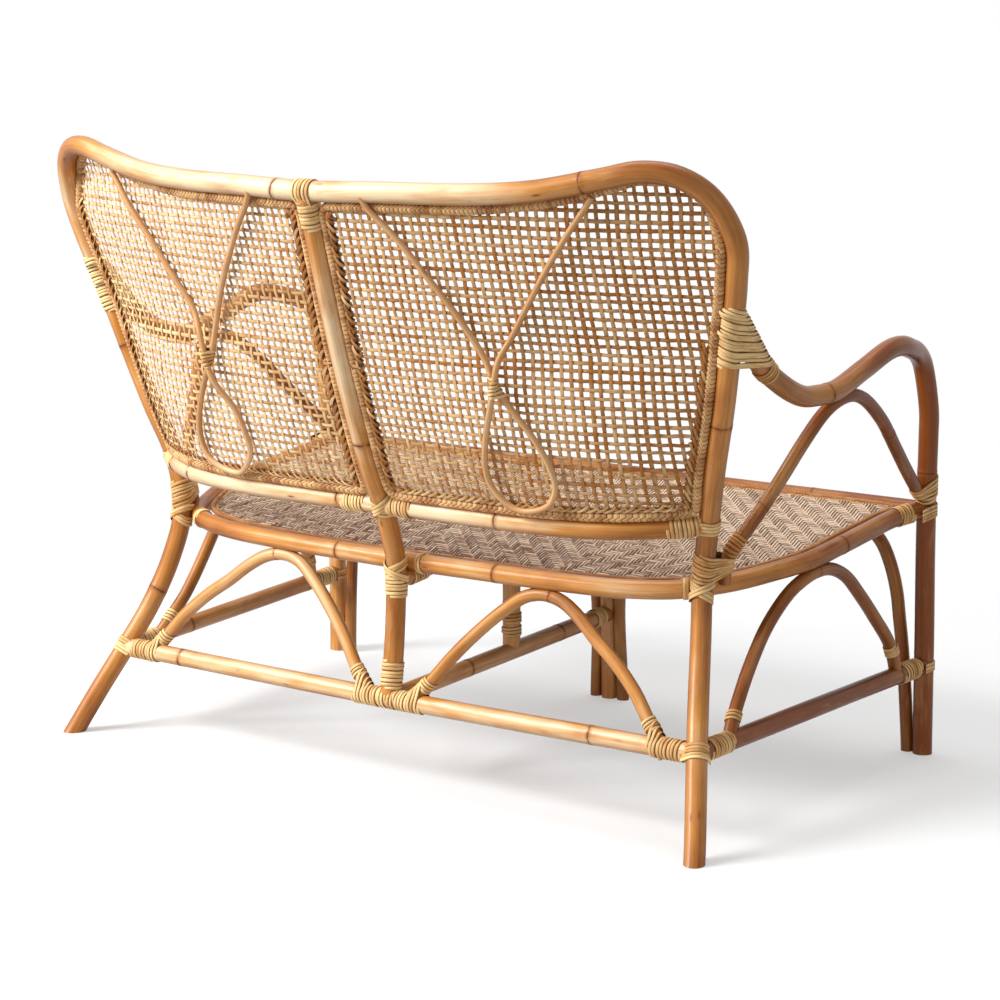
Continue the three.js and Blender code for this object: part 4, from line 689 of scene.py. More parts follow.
def ribbon(path, out, width, thick, tone=0.0, flat=True):
    """A strip of cane along a path of points that know the way out of what they lie on.

    Flat strips have six corners round the path; half-round ones stand on it with a rounded back.
    """
    run = unit(np.gradient(path, axis=0))
    side = unit(np.cross(run, out))
    out = np.cross(side, run)
    # Each corner's edge value sets how much of the painted shade of the gaps between strips it takes.
    if flat:
        shape = np.array([(0.5, -0.32), (0.5, 0.32), (0.1, 0.5), (-0.5, 0.32), (-0.5, -0.32), (0.1, -0.5)])
        edge = np.array([0.2, 0.2, 1.0, 0.6, 0.6, 1.0])
    else:
        shape = np.array([(1.0, -0.2), (1.0, 0.2), (0.66, 0.41), (0, 0.5), (0, -0.5), (0.66, -0.41)])
        edge = np.array([0.0, 0.0, 0.85, 1.0, 1.0, 0.85])
    width = np.broadcast_to(width, len(path))[:, None]
    up = shape[:, 0] * thick * np.ones_like(width)
    over = shape[:, 1] * width
    grid = path[:, None] + up[..., None] * out[:, None] + over[..., None] * side[:, None]
    s = lengths_of(path)[:, None]
    grain = np.stack([s + 0 * over, over, up], -1) / 1000 + dice.uniform(0, 30, 3)
    return loft(grid, grain=grain, tone=np.reshape(tone, (-1, 1)), edge=np.broadcast_to(edge, grid.shape[:2]))


def span_in(outline, value, axis, least):
    """Where the line at one value of an axis enters and leaves an outline of two columns, or nothing
    if the stretch between is shorter than the least."""
    a, b = outline, np.roll(outline, -1, axis=0)
    da, db = a[:, axis] - value, b[:, axis] - value
    hit, other = da * db < 0, 1 - axis
    met = a[hit, other] + (b[hit, other] - a[hit, other]) * da[hit] / (da[hit] - db[hit])
    return (met.min(), met.max()) if len(met) > 1 and np.ptp(met) >= least else None


def cut_to(low, high, place, rise, margin):
    """A strand's places and its rise there, cut to end at low and high."""
    keep = (place > low + margin) & (place < high - margin)
    ends = np.interp([low, high], place, rise)
    return np.concatenate([[low], place[keep], [high]]), np.concatenate([[ends[0]], rise[keep], [ends[1]]])


def strand_rows(low, high, pitch, first, phase, flat=0.2):
    """Places along a strand from low to high and its rise there, -1 to 1: level over each crossing,
    alternately up and down, and half way between two of them in the middle."""
    k = np.arange(int((low - first) / pitch) - 2, int((high - first) / pitch) + 3)
    sign = np.where((k + phase) % 2 == 0, 1.0, -1.0)
    place = np.stack([first + (k + part) * pitch for part in (-flat, flat, 0.5)], -1).ravel()
    return cut_to(low, high, place, np.stack([sign, sign, 0 * sign], -1).ravel(), 0.8)


def drawn_in(spot, run, middle, distance):
    """Points of two columns moved square to their run, toward the side the middle is on."""
    inward = unit(np.stack([-run[:, 1], run[:, 0]], -1))
    inward *= np.sign(((middle - spot) * inward).sum(-1, keepdims=True))
    return spot + inward * distance


def inset(outline, distance):
    """A closed outline of two columns drawn in by a distance along its normals."""
    run = np.roll(outline, -1, axis=0) - np.roll(outline, 1, axis=0)
    return drawn_in(outline, run, outline.mean(0), distance)


def plait(word, start, end, step, clear, reach, width, tones, under):
    """Strand ends laid back along the edge: each slants over the next from the weave to the rod, and a dark
    second row slants the other way under it, dark partly as stain and partly as painted shade beneath the
    top row. Lift = a half wave from end to end."""
    line, length = flat_edges[word]
    middle = line.mean(0)
    made = []
    row = np.arange(start, end, 9.0)
    for inward_by in (clear + 0.3 * reach, clear + 0.72 * reach):
        spot = inset(line[:-1], inward_by)
        spot = between(row, length[:-1], spot)
        path, out = on_back(spot[:, 0], spot[:, 1], 1.3 + 0.4 * np.sin(row))
        made.append(ribbon(path, out, 0.55 * reach, 1.4, under))
    t = np.linspace(0, 1, 9)
    for s in np.arange(start, end, step):
        for way, lift, tone in ((1, 4.0, 0), (-1, 2.4, 0.5)):
            spot = between(s + way * (t - 0.5) * step * 1.7 + dice.normal(0, 0.8), length, line)
            away = (clear + reach * (1 - t) * dice.normal(1, 0.08))[:, None]
            spot = drawn_in(spot, np.gradient(spot, axis=0), middle, away)
            path, out = on_back(spot[:, 0], spot[:, 1], 0.7 + lift * np.sin(np.pi * t))
            made.append(ribbon(path, out, width * (1 - 0.35 * t), 1.0, tone + dice.uniform(*tones)))
    return made


weave_skin = cane("back_weave", (0.88, 0.6, 0.3), (0.4, 0.15, 0.03), (0.08, 0.027, 0.008), 0.85, 0.4,
                  Specular_IOR_Level=0.25)
PLAIT_DOWN_SIDE = {"left": 410, "right": 255}
for word, side in SIDES.items():
    edge = flat_edges[word][0]
    strands = []
    ups = side * (FIRST_UPRIGHT + UPRIGHT_PITCH * np.arange(42))
    crosses = FIRST_CROSS + CROSS_PITCH * np.arange(38)
    for i, x in enumerate(ups):
        found = span_in(edge, x, 0, LEAST_STRAND)
        if found is None:
            continue
        z, rise = strand_rows(found[0] - EDGE_TUCK, found[1] + EDGE_TUCK, CROSS_PITCH, crosses[0], i)
        wander = dice.normal(0, 0.35) + 0.5 * np.sin(z / 41 + dice.uniform(0, 6.3))
        path, out = on_back(x + wander, z, rise * STRAND_REST)
        width = STRAND_WIDTH * dice.normal(1, 0.06)
        # The - x / 1900 term is painted light: strands paler toward the lit left, darker toward the shaded
        # right.
        strands.append(ribbon(path, out, width, STRAND_THICK, dice.uniform(0, 0.45) - x / 1900))
    for j, z in enumerate(crosses):
        found = span_in(edge, z, 1, LEAST_STRAND)
        if found is None:
            continue
        x, rise = strand_rows(found[0] - EDGE_TUCK, found[1] + EDGE_TUCK, UPRIGHT_PITCH, ups[0], j + 1)
        wander = dice.normal(0, 0.35) + 0.5 * np.sin(x / 47 + dice.uniform(0, 6.3))
        path, out = on_back(x, z + wander, rise * STRAND_REST)
        width = STRAND_WIDTH * dice.normal(0.98, 0.06)
        # Painted light across the width here too, as for the uprights.
        strands.append(ribbon(path, out, width, STRAND_THICK, (dice.uniform(-0.1, 0.4) - x / 1900)[:, None]))
    top, bottom, post = edge_marks[word]
    end = course[f"back_edge_{word}"][1][-1]
    # The last two numbers are the tones of the slanting strands and of the row beneath; the high ones paint
    # them dark, partly stain and partly painted shade.
    strands += plait(word, bottom + 4, post - 10, UPRIGHT_PITCH, 6, 8, 4.8, (-0.3, 0.2), 1.3)
    strands += plait(word, post + 8, end, CROSS_PITCH, 4.5, 13, 6.4, (0.1, 1.3), 1.6)
    strands += plait(word, 0, top - 8, CROSS_PITCH, 4.5, 13, 6.4, (0.1, 1.3), 1.6)
    strands += plait(word, bottom - PLAIT_DOWN_SIDE[word], bottom - 12, CROSS_PITCH, 5, 7, 5, (0, 1.2), 1.4)
    add_piece(f"back_weave_{word}", strands, weave_skin, [f"back_panel_{word}"])


# Two loops of thin peeled cane, one a side, are bent against the rear of the back and tied where
# their strands cross; their tops are nailed to the hoop.
LOOP_WIDTH = 9
LOOP_LEFT = [
    (97.2, 380.8, 857.6), (103.6, 376.2, 844), (138.3, 358.1, 804.1), (172.2, 339.4, 756.2),
    (204.3, 319.7, 708.2), (237, 296.5, 646), (251.8, 289.6, 606.9), (269.2, 281.4, 579.3),
    (297.9, 262.6, 533.1), (312.4, 249.6, 496.8), (314.7, 240.7, 470.2), (302.6, 236.1, 445.9),
    (272.4, 233.3, 432.5), (246.6, 235.4, 432.4), (226.1, 244.5, 447.5), (212.7, 251.5, 469),
    (212.7, 260.8, 494.6), (222.2, 272.6, 531.8), (245.3, 294.8, 576.9), (254.2, 299.3, 608.4),
    (263, 300.6, 643.1), (279.7, 293.4, 675.5), (312.9, 301.1, 724.4), (351.3, 308.4, 779.6),
    (384.8, 312.7, 823.6), (406.6, 310.5, 853.2), (416.5, 311.3, 867.7),
]
loop_skin = rattan("peeled_cane", (0.87, 0.63, 0.37), (0.69, 0.38, 0.16), (0.38, 0.14, 0.035), streaks=0.8,
                   Coat_Weight=0.1, Coat_Roughness=0.25, Specular_IOR_Level=0.25)
for word, flip in FLIPS.items():
    course[f"back_loop_{word}"] = centre_line(flip(LOOP_LEFT))
    add_piece(f"back_loop_cane_{word}", [pole(course[f"back_loop_{word}"], LOOP_WIDTH, (), REAR, 14, 0.05)],
              loop_skin, [f"back_loop_{word}"])


# The woven seat is a close twill of cane strips. Narrow ones run front to rear at a slight lean and
# pass over four and under four of the wide ones that run across, which makes slanting bands.
SEAT_LEVELS = np.array([
    (-340, 372.9), (-300, 368), (-250, 362.4), (-200, 357.3), (-150, 351.7), (-100, 346.4), (-50, 340.7),
    (0, 335), (50, 329.6), (100, 325.6), (140, 318.9),
])
SEAT_EDGE_HALF = [
    (0, 139), (95.3, 138), (201, 134.5), (306.5, 126.7), (375.8, 113.9), (408.7, 101.8), (438.2, 82.7),
    (459.4, 54.8), (488.4, -9.1), (500.8, -41.9), (510, -75.7), (514.1, -110.5), (517.9, -215.5),
    (520.5, -285.6), (525.5, -322), (519, -338.5), (500, -340.8), (350, -340.8), (170, -340.8), (0, -340.8),
]
NARROW_STEP, WIDE_STEP, SEAT_LEAN, SEAT_REST = 5.1, 7.4, 0.27, 1.0
NARROW_STRIP, WIDE_STRIP = (4.3, 1.6), (6.9, 1.1)
SEAT_REAR, SEAT_SKIN, LEAST_STRIP = 139, 4, 10


def on_seat(x, y, lift=0.0):
    """Points of the woven seat, which rises toward the front, and the way up out of it."""
    x, y = np.broadcast_arrays(np.asarray(x, float), np.asarray(y, float))
    level, ahead = (np.interp(at, *SEAT_LEVELS.T) + SEAT_SKIN for at in (y, y + 5))
    out = unit(np.stack([0 * y, level - ahead, 0 * y + 5], -1))
    return np.stack([x, y, level], -1) + out * np.asarray(lift)[..., None], out


def leaned(y):
    """How far a narrow strip has moved sideways at y, from where it leaves the rear."""
    return SEAT_LEAN * (SEAT_REAR - y)


def twill_up(i, j):
    """Whether narrow strip i lies on wide strip j: a four and four twill. It leans one way along the
    front and in the middle of the rear, and turns back on itself in the rear corners."""
    y = SEAT_REAR - (j + 0.5) * WIDE_STEP
    x = i * NARROW_STEP + leaned(y)
    steep = (y < -25) | ((x > -235) & (x < 20))
    return np.where(steep, (i - j) % 8 < 4, (i + j) % 8 < 4)


def twill_strip(found, rows, up):
    """Places along a strip and its rise, with a row on each side of every change of level."""
    low, high = found[0] + 1, found[1] - 1
    change = np.flatnonzero(up[1:] != up[:-1])
    middle = (rows[change] + rows[change + 1]) / 2
    sign = np.where(up, 1.0, -1.0)
    steps = np.stack([middle - 1.6, middle + 1.6], -1).ravel()
    place = np.concatenate([[min(rows[0], low) - 1], steps, [max(rows[-1], high) + 1]])
    levels = np.stack([sign[change], sign[change + 1]], -1).ravel()
    return cut_to(low, high, place, np.concatenate([[sign[0]], levels, [sign[-1]]]), 0.5)


def strip_tone(base, y, along_strip, found):
    """Tone of a strip: deeper toward the rear, and deep close to both of its ends."""
    near_end = np.minimum(along_strip - found[0], found[1] - along_strip)
    return (base + 0.18 * np.clip(y / 60, -1, 1) + 0.7 * np.exp(-near_end / 9))[:, None]


half = centre_line([(x, y, 0) for x, y in SEAT_EDGE_HALF])[0][:, :2]
seat_edge = np.vstack([half, (half * (-1, 1))[::-1][1:-1]])
leaning = seat_edge - np.stack([leaned(seat_edge[:, 1]), 0 * seat_edge[:, 1]], -1)
narrow, wide = np.arange(-130, 105), np.arange(0, 65)
strips = []
for i in narrow:
    found = span_in(leaning, i * NARROW_STEP + 0.01, 0, LEAST_STRIP)
    if found is None:
        continue
    rows = (SEAT_REAR - (wide + 0.5) * WIDE_STEP)[::-1]
    y, rise = twill_strip(found, rows, twill_up(i, wide)[::-1])
    x = i * NARROW_STEP + leaned(y) + dice.normal(0, 0.12)
    path, out = on_seat(x, y, rise * SEAT_REST)
    width, thick = NARROW_STRIP[0] * dice.normal(1, 0.03), NARROW_STRIP[1]
    strips.append(ribbon(path, out, width, thick, strip_tone(dice.uniform(-0.35, 0.25), y, y, found), False))
for j in wide:
    y = SEAT_REAR - (j + 0.5) * WIDE_STEP
    found = span_in(seat_edge, y + 0.01, 1, LEAST_STRIP)
    if found is None:
        continue
    x, rise = twill_strip(found, narrow * NARROW_STEP + leaned(y), ~twill_up(narrow, j))
    path, out = on_seat(x, y + dice.normal(0, 0.12), rise * SEAT_REST)
    width, thick = WIDE_STRIP[0] * dice.normal(1, 0.03), WIDE_STRIP[1]
    strips.append(ribbon(path, out, width, thick, strip_tone(dice.uniform(-0.25, 0.35), y, x, found), False))
# Its near-black edge colour paints the shade in the gaps between the seat strips.
seat_skin = cane("seat_weave", (0.78, 0.57, 0.4), (0.2, 0.072, 0.022), (0.018, 0.006, 0.003), 1.0, 0.25,
                 Specular_IOR_Level=0.3)
add_piece("seat_weave", strips, seat_skin, ["seat_panel"])


# The seat is edged by a thin smooth rod beside the hoop; inside it the strip ends are turned over
# and whipped down with fine brown cane.
ROD_RADIUS, ROD_LIFT, ROD_ROWS, ROD_CORNERS, ROD_TONE = 3.7, 2.4, 420, 10, 0.55
WHIP_RADIUS, WHIP_PITCH, WHIP_INSET, WHIP_LIFT, WHIP_TONE = 3.0, 5.2, 7.0, 0.8, 0.3


def seat_course(distance, lift):
    """The seat's outline drawn in and lifted, closed at its first point, with the lengths along it."""
    flat = inset(seat_edge, distance)
    line = on_seat(flat[:, 0], flat[:, 1], lift)[0]
    line = np.vstack([line, line[:1]])
    return line, lengths_of(line)


rod_course = seat_course(0, ROD_LIFT)
s = np.linspace(0, rod_course[1][-1], ROD_ROWS)[:, None]
spot, _, out, aside = frame_along(rod_course, s[:, 0], UP)
turn = np.linspace(0, 2 * np.pi, ROD_CORNERS, endpoint=False)
off = round_by(turn, out[:, None], aside[:, None])
grain = np.stack([s + 0 * turn, ROD_RADIUS * turn + 0 * s, 0 * turn + 0 * s], -1) / 1000
rod = loft(spot[:, None] + ROD_RADIUS * off, grain=grain, tone=np.full((1, 1), ROD_TONE),
           edge=np.zeros((1, 1)))
whipping = wound_rod(seat_course(WHIP_INSET, WHIP_LIFT), WHIP_RADIUS, WHIP_PITCH, UP, 8, 0.2, WHIP_TONE)
edge_skin = cane("seat_edging", (0.7, 0.4, 0.14), (0.3, 0.11, 0.025), (0.03, 0.01, 0.003), 1.0,
                 Specular_IOR_Level=0.3)
add_piece("seat_edge_rod", [rod, whipping], edge_skin, ["seat_rope"])


# Every joint is bound with split cane over the nails: close turns round one pole or round two where
# an arch meets a stretcher, and strands laid across the pole that is met. All of it is half round.
BIND_WIDTH, NARROW_WIDTH, BIND_THICK, BIND_PITCH, CLOSE_PITCH = 5.3, 4.8, 1.5, 5.5, 5.0
BIND_LIFT, BIND_TUCK, REACH_OF_PLANE, TURN_STEPS, STRAND_STEPS = 0.15, 1.6, 75, 24, 15
POLE_WIDTHS = {
    "back_hoop": HOOP_WIDTH, "centre_post": POST_WIDTH, "seat_hoop": SEAT_WIDTH, "back_rail": RAIL_WIDTH,
    "arm": ARM_WIDTH, "arm_tip": ARM_WIDTH, "rear_arch": ARCH_WIDTH, "side_arch": ARCH_WIDTH,
    "arm_arch": ARCH_WIDTH, "front_arch": FRONT_ARCH_WIDTH, "loop_rising": LOOP_WIDTH,
    "loop_falling": LOOP_WIDTH,
}
for name, row in STRAIGHT_POLES.items():
    POLE_WIDTHS[name.replace("_left", "")] = row[0]
FRONT = (0, -1, 0)
bind_skin = cane("binding", (0.94, 0.65, 0.3), (0.5, 0.2, 0.04), (0.06, 0.019, 0.004), 0.95,
                 Specular_IOR_Level=0.25)


def half_width(name):
    """Half the width of the pole of that name, on either side of the sofa."""
    return POLE_WIDTHS[name.replace("_left", "").replace("_right", "")] / 2


def where(name, last=False, **at):
    """Length along a pole at which its x, y or z has a value: the first place, or the last."""
    line, length = course[name]
    (axis, value), = at.items()
    away = line[:, "xyz".index(axis)] - value
    hit = np.flatnonzero(away[1:] * away[:-1] <= 0)
    i = hit[-1 if last else 0]
    return length[i] + (length[i + 1] - length[i]) * away[i] / (away[i] - away[i + 1] + 1e-12)


def stretch_of(name, last=False, **at):
    """Lengths along a pole between two values of its x, y or z."""
    (axis, values), = at.items()
    return [where(name, last, **{axis: value}) for value in values]


def plane_through(first, second, run):
    """The plane that holds two points and is as square as can be to a direction."""
    first, second, run = (np.array(v, float) for v in (first, second, run))
    over = unit(second - first)
    return (first + second) / 2, unit(run - (run @ over) * over)


def coil(names, planes, turns, facing, width=BIND_WIDTH, thick=BIND_THICK, sense=1, tone=0.0):
    """Turns of cane round one or more poles, as one helix on planes that advance.

    In each plane every pole shows as an ellipse: support in the direction o is the radius times
    the root of 1 + (o . t)^2 / cos^2, t being the part of the pole's direction in the plane. The cane
    lies on whichever pole reaches furthest, and runs straight from one to the next.
    """
    centres, normals = (np.array(v, float) for v in planes)
    u = np.linspace(0, turns, int(turns * TURN_STEPS) + 1)
    inner = (u > 0.3) * (u < turns - 0.3)
    share = np.clip(u / turns + 0.012 * np.sin(u * 2.3 + dice.uniform(0, 6)) * inner, 0, 1)
    knots = np.linspace(0, 1, len(centres))
    centre, normal = between(share, knots, centres), unit(between(share, knots, normals))
    facing = np.array(facing, float)
    first = unit(facing - (normal @ facing)[:, None] * normal)
    second = np.cross(normal, first)
    angle = sense * 2 * np.pi * u
    out = round_by(angle, first, second)
    best = np.full(len(u), -1e9)
    path = centre.copy()
    for name in names:
        line = course[name][0]
        away = normal @ line.T - (centre * normal).sum(-1)[:, None]
        gap = np.linalg.norm(line[None, :-1] - centre[:, None], axis=-1)
        crossing = (away[:, 1:] * away[:, :-1] <= 0) & (gap < REACH_OF_PLANE)
        i = (gap + 1e6 * ~crossing).argmin(1)
        here = crossing[np.arange(len(u)), i]
        a, b = away[np.arange(len(u)), i], away[np.arange(len(u)), i + 1]
        met = line[i] + (line[i + 1] - line[i]) * (a / (a - b + 1e-12))[:, None]
        run = unit(line[i + 1] - line[i])
        square = np.clip((run * normal).sum(-1), -1, 1)
        lean = run - square[:, None] * normal
        stretch = (out * lean).sum(-1) / np.maximum(square ** 2, 0.12)
        root = np.sqrt(1 + (out * lean).sum(-1) * stretch)
        spot = met + (half_width(name) + BIND_LIFT) * (out + lean * stretch[:, None]) / root[:, None]
        reach = np.where(here, (spot * out).sum(-1), -1e9)
        path = np.where((reach > best)[:, None], spot, path)
        best = np.maximum(best, reach)
    ends = np.clip(np.minimum(u, turns - u) / 0.12, 0, 1)
    path -= out * ((1 - ends) * BIND_TUCK)[:, None]
    shade = tone + painted_side_shade + dice.uniform(-0.15, 0.3)
    return ribbon(path, out, width * (1 + 0.04 * np.sin(u * 1.7)), thick, shade, flat=False)


def turned(names, stretch, turns, facing=REAR, **more):
    """A coil square to the first of the poles named, from one length along it to another."""
    start, end = stretch
    spot, run = along(course[names[0]], np.linspace(start, end, 9))
    return coil(names, (spot, run * np.sign(end - start)), turns, facing, **more)


def passes(name, at, outs, count, reach=(14, 14), spacing=BIND_PITCH, slant=0.0, lift=0.2,
           width=BIND_WIDTH, gather=1.0, sink=0.3):
    """Strands laid side by side over a pole, each an arc on it that runs off straight at both ends.

    outs are the directions, out of the pole, at which the arc starts, passes its middle and ends;
    slant is how far a strand climbs from end to end, and gather narrows the band toward its ends.
    """
    made = []
    centre, run = along(course[name], np.float64(at))
    radius = half_width(name)
    outs = unit(np.array([np.array(o, float) - (run @ np.array(o, float)) * run for o in outs]))
    second = np.cross(run, outs[1])
    turn = np.arctan2(outs @ second, outs @ outs[1])
    angle = np.linspace(turn[0], turn[2], STRAND_STEPS)
    out = round_by(angle, outs[1], second)
    tangent = [np.sign(turn[2] - turn[0]) * np.cross(run, out[i]) for i in (0, -1)]
    share = np.linspace(0, 1, STRAND_STEPS)
    drop = radius * np.array([sink, sink * 0.4])
    for k in range(count):
        height = (k - (count - 1) / 2) * spacing + dice.normal(0, 0.2)
        rise = height + slant * (share - 0.5)
        arc = centre + run * rise[:, None] + out * (radius + lift)
        far = height * gather
        head = [centre + run * (far - slant * 0.5) + out[0] * (radius + lift - d) - tangent[0] * r
                for d, r in zip(drop, (reach[0], reach[0] * 0.5))]
        tail = [centre + run * (far + slant * 0.5) + out[-1] * (radius + lift - d) + tangent[1] * r
                for d, r in zip(drop[::-1], (reach[1] * 0.5, reach[1]))]
        path = np.vstack([head, arc, tail])
        outward = np.vstack([out[:1], out[:1], out, out[-1:], out[-1:]])
        shade = painted_side_shade + dice.uniform(-0.15, 0.3)
        made.append(ribbon(path, outward, width, BIND_THICK, shade, flat=False))
    return made


def bind(joint, parts, side=""):
    """The cane of one joint, set over the winding of its name."""
    add_piece(f"{joint}_binding_cane{side}", parts, bind_skin, [f"{joint}_binding{side}"])


# The top rail and the post under it: five strands over the rail, seven turns on the post.
POST_TURNS = (6, 45)
# Painted light and shade added to every binding's tone: lighter here in the middle of the back.
painted_side_shade = -0.1
over_rail = [(0, 1, -0.55), (0, 0.25, 1), (0, -1, -0.2)]
middle = course["back_hoop"][1][-1] / 2
parts = passes("back_hoop", middle, over_rail, 5, (22, 20), 6.2, width=6.0, gather=0.86)
parts.append(turned(["centre_post"], POST_TURNS, 7, width=5.6))
bind("top", parts)

# The lower rails and the post: seven turns on each rail, four strands across and three on a slant.
RAIL_TURNS = {"left": (59, 21), "right": (47, 9)}
parts = [turned([f"back_rail_{word}"], RAIL_TURNS[word], 7) for word in ("left", "right")]
over_post = [(-1, 0.15, 0), (0, 1, 0), (1, 0.15, 0)]
post_at = where("centre_post", z=408.6)
parts += passes("centre_post", post_at, over_post, 4, (18, 18), 5.4, -12)
parts += passes("centre_post", post_at, over_post, 3, (22, 22), 5.4, 26, 1.6)
bind("rail_post", parts)

# The seat hoop and the post: two crossed bands where the hoop passes, six turns on the post under
# them and six on the crossbar, and a turn or two on the hoop at each side.
over_post = [(-1, -0.2, 0), (0, 1, 0), (1, -0.2, 0)]
seat_at = where("centre_post", z=309)
parts = passes("centre_post", seat_at, over_post, 3, spacing=CLOSE_PITCH, slant=26)
parts += passes("centre_post", seat_at, over_post, 2, spacing=CLOSE_PITCH, slant=-26, lift=1.7)
parts.append(turned(["centre_post"], stretch_of("centre_post", z=(303, 271)), 6))
parts.append(turned(["seat_crossbar"], (20, 58), 6, tone=0.35))
parts.append(turned(["seat_hoop"], stretch_of("seat_hoop", x=(-24, -34)), 2, UP))
parts.append(turned(["seat_hoop"], stretch_of("seat_hoop", x=(22, 28)), 1.2, UP))
bind("seat_post", parts)

# The foot of the post: seven turns just above the stretcher.
parts = [turned(["centre_post"], stretch_of("centre_post", z=(177, 138)), 7)]
bind("post_foot", parts)


# The joints of each side, from the arm down: cane on the pole that ends at the joint, strands round
# the pole that goes on. The numbers are heights, or distances out from the middle along the rear
# stretcher and its arches; those on the arm's first coil, the rail and the bars are lengths along.
ARM_COIL_TOP, ARM_COIL_MIDDLE, ARM_COIL_LOW, ARM_COIL_TIP = 725, 680, 646, 718
ARM_COIL_END, ARM_ALONE_COIL = (74, 70), (79, 99)
RAIL_STRANDS, RAIL_COIL = 419, (49, 6)
BAR_REAR_COIL, BAR_FRONT_COIL = (14, 64), (62, 17)
LEG_COIL, ARCH_IN_COIL, ARCH_COIL, LEG_BANDS = (378, 341), (370, 350), (398, 374), 327
CORNER_COIL, CORNER_ARCH_COIL, CORNER_STRANDS = (498, 446), (446, 434), 126
CENTRE_COIL, CENTRE_ARCH_COIL = (60, 14), (57, 69)
SIDE_ARCH_REAR, SIDE_ARCH_FRONT, SIDE_STRANDS = 147, 168, 136
SEAT_STRANDS, SEAT_BAND = 374, (392, 424)
HOOP_TURNS_OUT, HOOP_TIP_Y, HOOP_TIP_COIL = 436, -336, (32, 2)
TIE_HEIGHT, TIE_OUT, TIE_REACH = 608, 252, 13
for word, side in SIDES.items():
    arm, rail, bar = f"arm_{word}", f"back_rail_{word}", f"side_stretcher_{word}"
    rear_arch, side_arch, arm_arch = f"rear_arch_{word}", f"side_arch_{word}", f"arm_arch_{word}"
    outer = (side, 0, 0)
    # Painted light and shade: bindings lighter on the lit left side, darker on the shaded right.
    painted_side_shade = -0.1 if side > 0 else 0.02

    def hoop_at(z):
        """Length along the hoop at a height on this side."""
        return where("back_hoop", last=side < 0, z=z)

    def spot_of(name, s):
        """The point at a length along a pole."""
        return along(course[name], np.float64(s))[0]

    # Arm and hoop: seventeen turns round both, then over three on the arm alone.
    down = along(course["back_hoop"], np.float64(hoop_at(ARM_COIL_MIDDLE)))[1] * -side
    high = spot_of("back_hoop", hoop_at(ARM_COIL_TOP))
    top = plane_through(high, high + (0, -1, -0.1), down)
    low = plane_through(spot_of("back_hoop", hoop_at(ARM_COIL_LOW)), spot_of(arm, ARM_COIL_END[0]), down)
    tip = np.linspace(spot_of("back_hoop", hoop_at(ARM_COIL_TIP)), spot_of(arm, ARM_COIL_END[1]), 40)
    course[f"arm_tip_{word}"] = (tip, np.linspace(0, 110, 40))
    held = ["back_hoop", arm, f"arm_tip_{word}"]
    parts = [coil(held, list(zip(top, low)), 17, REAR, width=5.1, sense=side, tone=-0.3)]
    parts.append(turned([arm], ARM_ALONE_COIL, 3.6, UP, tone=0.4))
    bind("arm", parts, f"_{word}")

    # Lower rail and leg: eight turns on the rail, four strands round the leg.
    end = course[rail][1][-1]
    along_rail = along(course[rail], np.float64(end))[1]
    rear_of_rail = np.cross(along_rail, UP) * side
    rear_of_rail *= np.sign(rear_of_rail[1])
    parts = [turned([rail], [end - reach for reach in RAIL_COIL], 8)]
    over_leg = [rear_of_rail, along_rail, -rear_of_rail]
    parts += passes("back_hoop", hoop_at(RAIL_STRANDS), over_leg, 4, (16, 16), CLOSE_PITCH)
    bind("rail_leg", parts, f"_{word}")

    # Seat, leg and arm arch: eight turns round leg and arch, six on the arch alone, crossed bands
    # on the leg below and two turns on the hoop.
    top, low = (
        plane_through(spot_of("back_hoop", hoop_at(z)), spot_of(arm_arch, where(arm_arch, z=arch_z)), down)
        for z, arch_z in zip(LEG_COIL, ARCH_IN_COIL)
    )
    parts = [coil(["back_hoop", arm_arch], list(zip(top, low)), 8, REAR, sense=side, tone=0.3)]
    parts.append(turned([arm_arch], stretch_of(arm_arch, z=ARCH_COIL), 6, width=NARROW_WIDTH, tone=0.4))
    over_leg = [(-side, 0.35, 0), (0.25 * side, 1, 0), (side, -0.2, 0)]
    parts += passes("back_hoop", hoop_at(LEG_BANDS), over_leg, 3, (12, 12), CLOSE_PITCH, 22)
    parts += passes("back_hoop", hoop_at(LEG_BANDS), over_leg, 2, (12, 12), CLOSE_PITCH, -24, 1.7)
    near = where("seat_hoop", x=side * HOOP_TURNS_OUT)
    parts.append(turned(["seat_hoop"], (near, near + 9), 2.2, UP, sense=side))
    bind("seat_leg", parts, f"_{word}")

    # Rear corner: nine turns round each stretcher with its arch's foot, five strands round the leg.
    stretch = stretch_of("rear_stretcher", x=[side * x for x in CORNER_COIL])
    parts = [turned(["rear_stretcher", rear_arch], stretch, 9, sense=side)]
    stretch = stretch_of(rear_arch, x=[side * x for x in CORNER_ARCH_COIL])
    parts.append(turned([rear_arch], stretch, 3.5, width=NARROW_WIDTH))
    parts.append(turned([bar, side_arch], BAR_REAR_COIL, 9, outer, sense=-side, tone=0.15))
    foot = where(side_arch, z=SIDE_ARCH_REAR)
    parts.append(turned([side_arch], (foot, foot + 18), 3.5, outer, width=NARROW_WIDTH))
    over_leg = [(0, 1, 0), (side, 1, 0), (side, 0, 0)]
    parts += passes("back_hoop", hoop_at(CORNER_STRANDS), over_leg, 5, (18, 18), 4.6)
    bind("rear_corner", parts, f"_{word}")

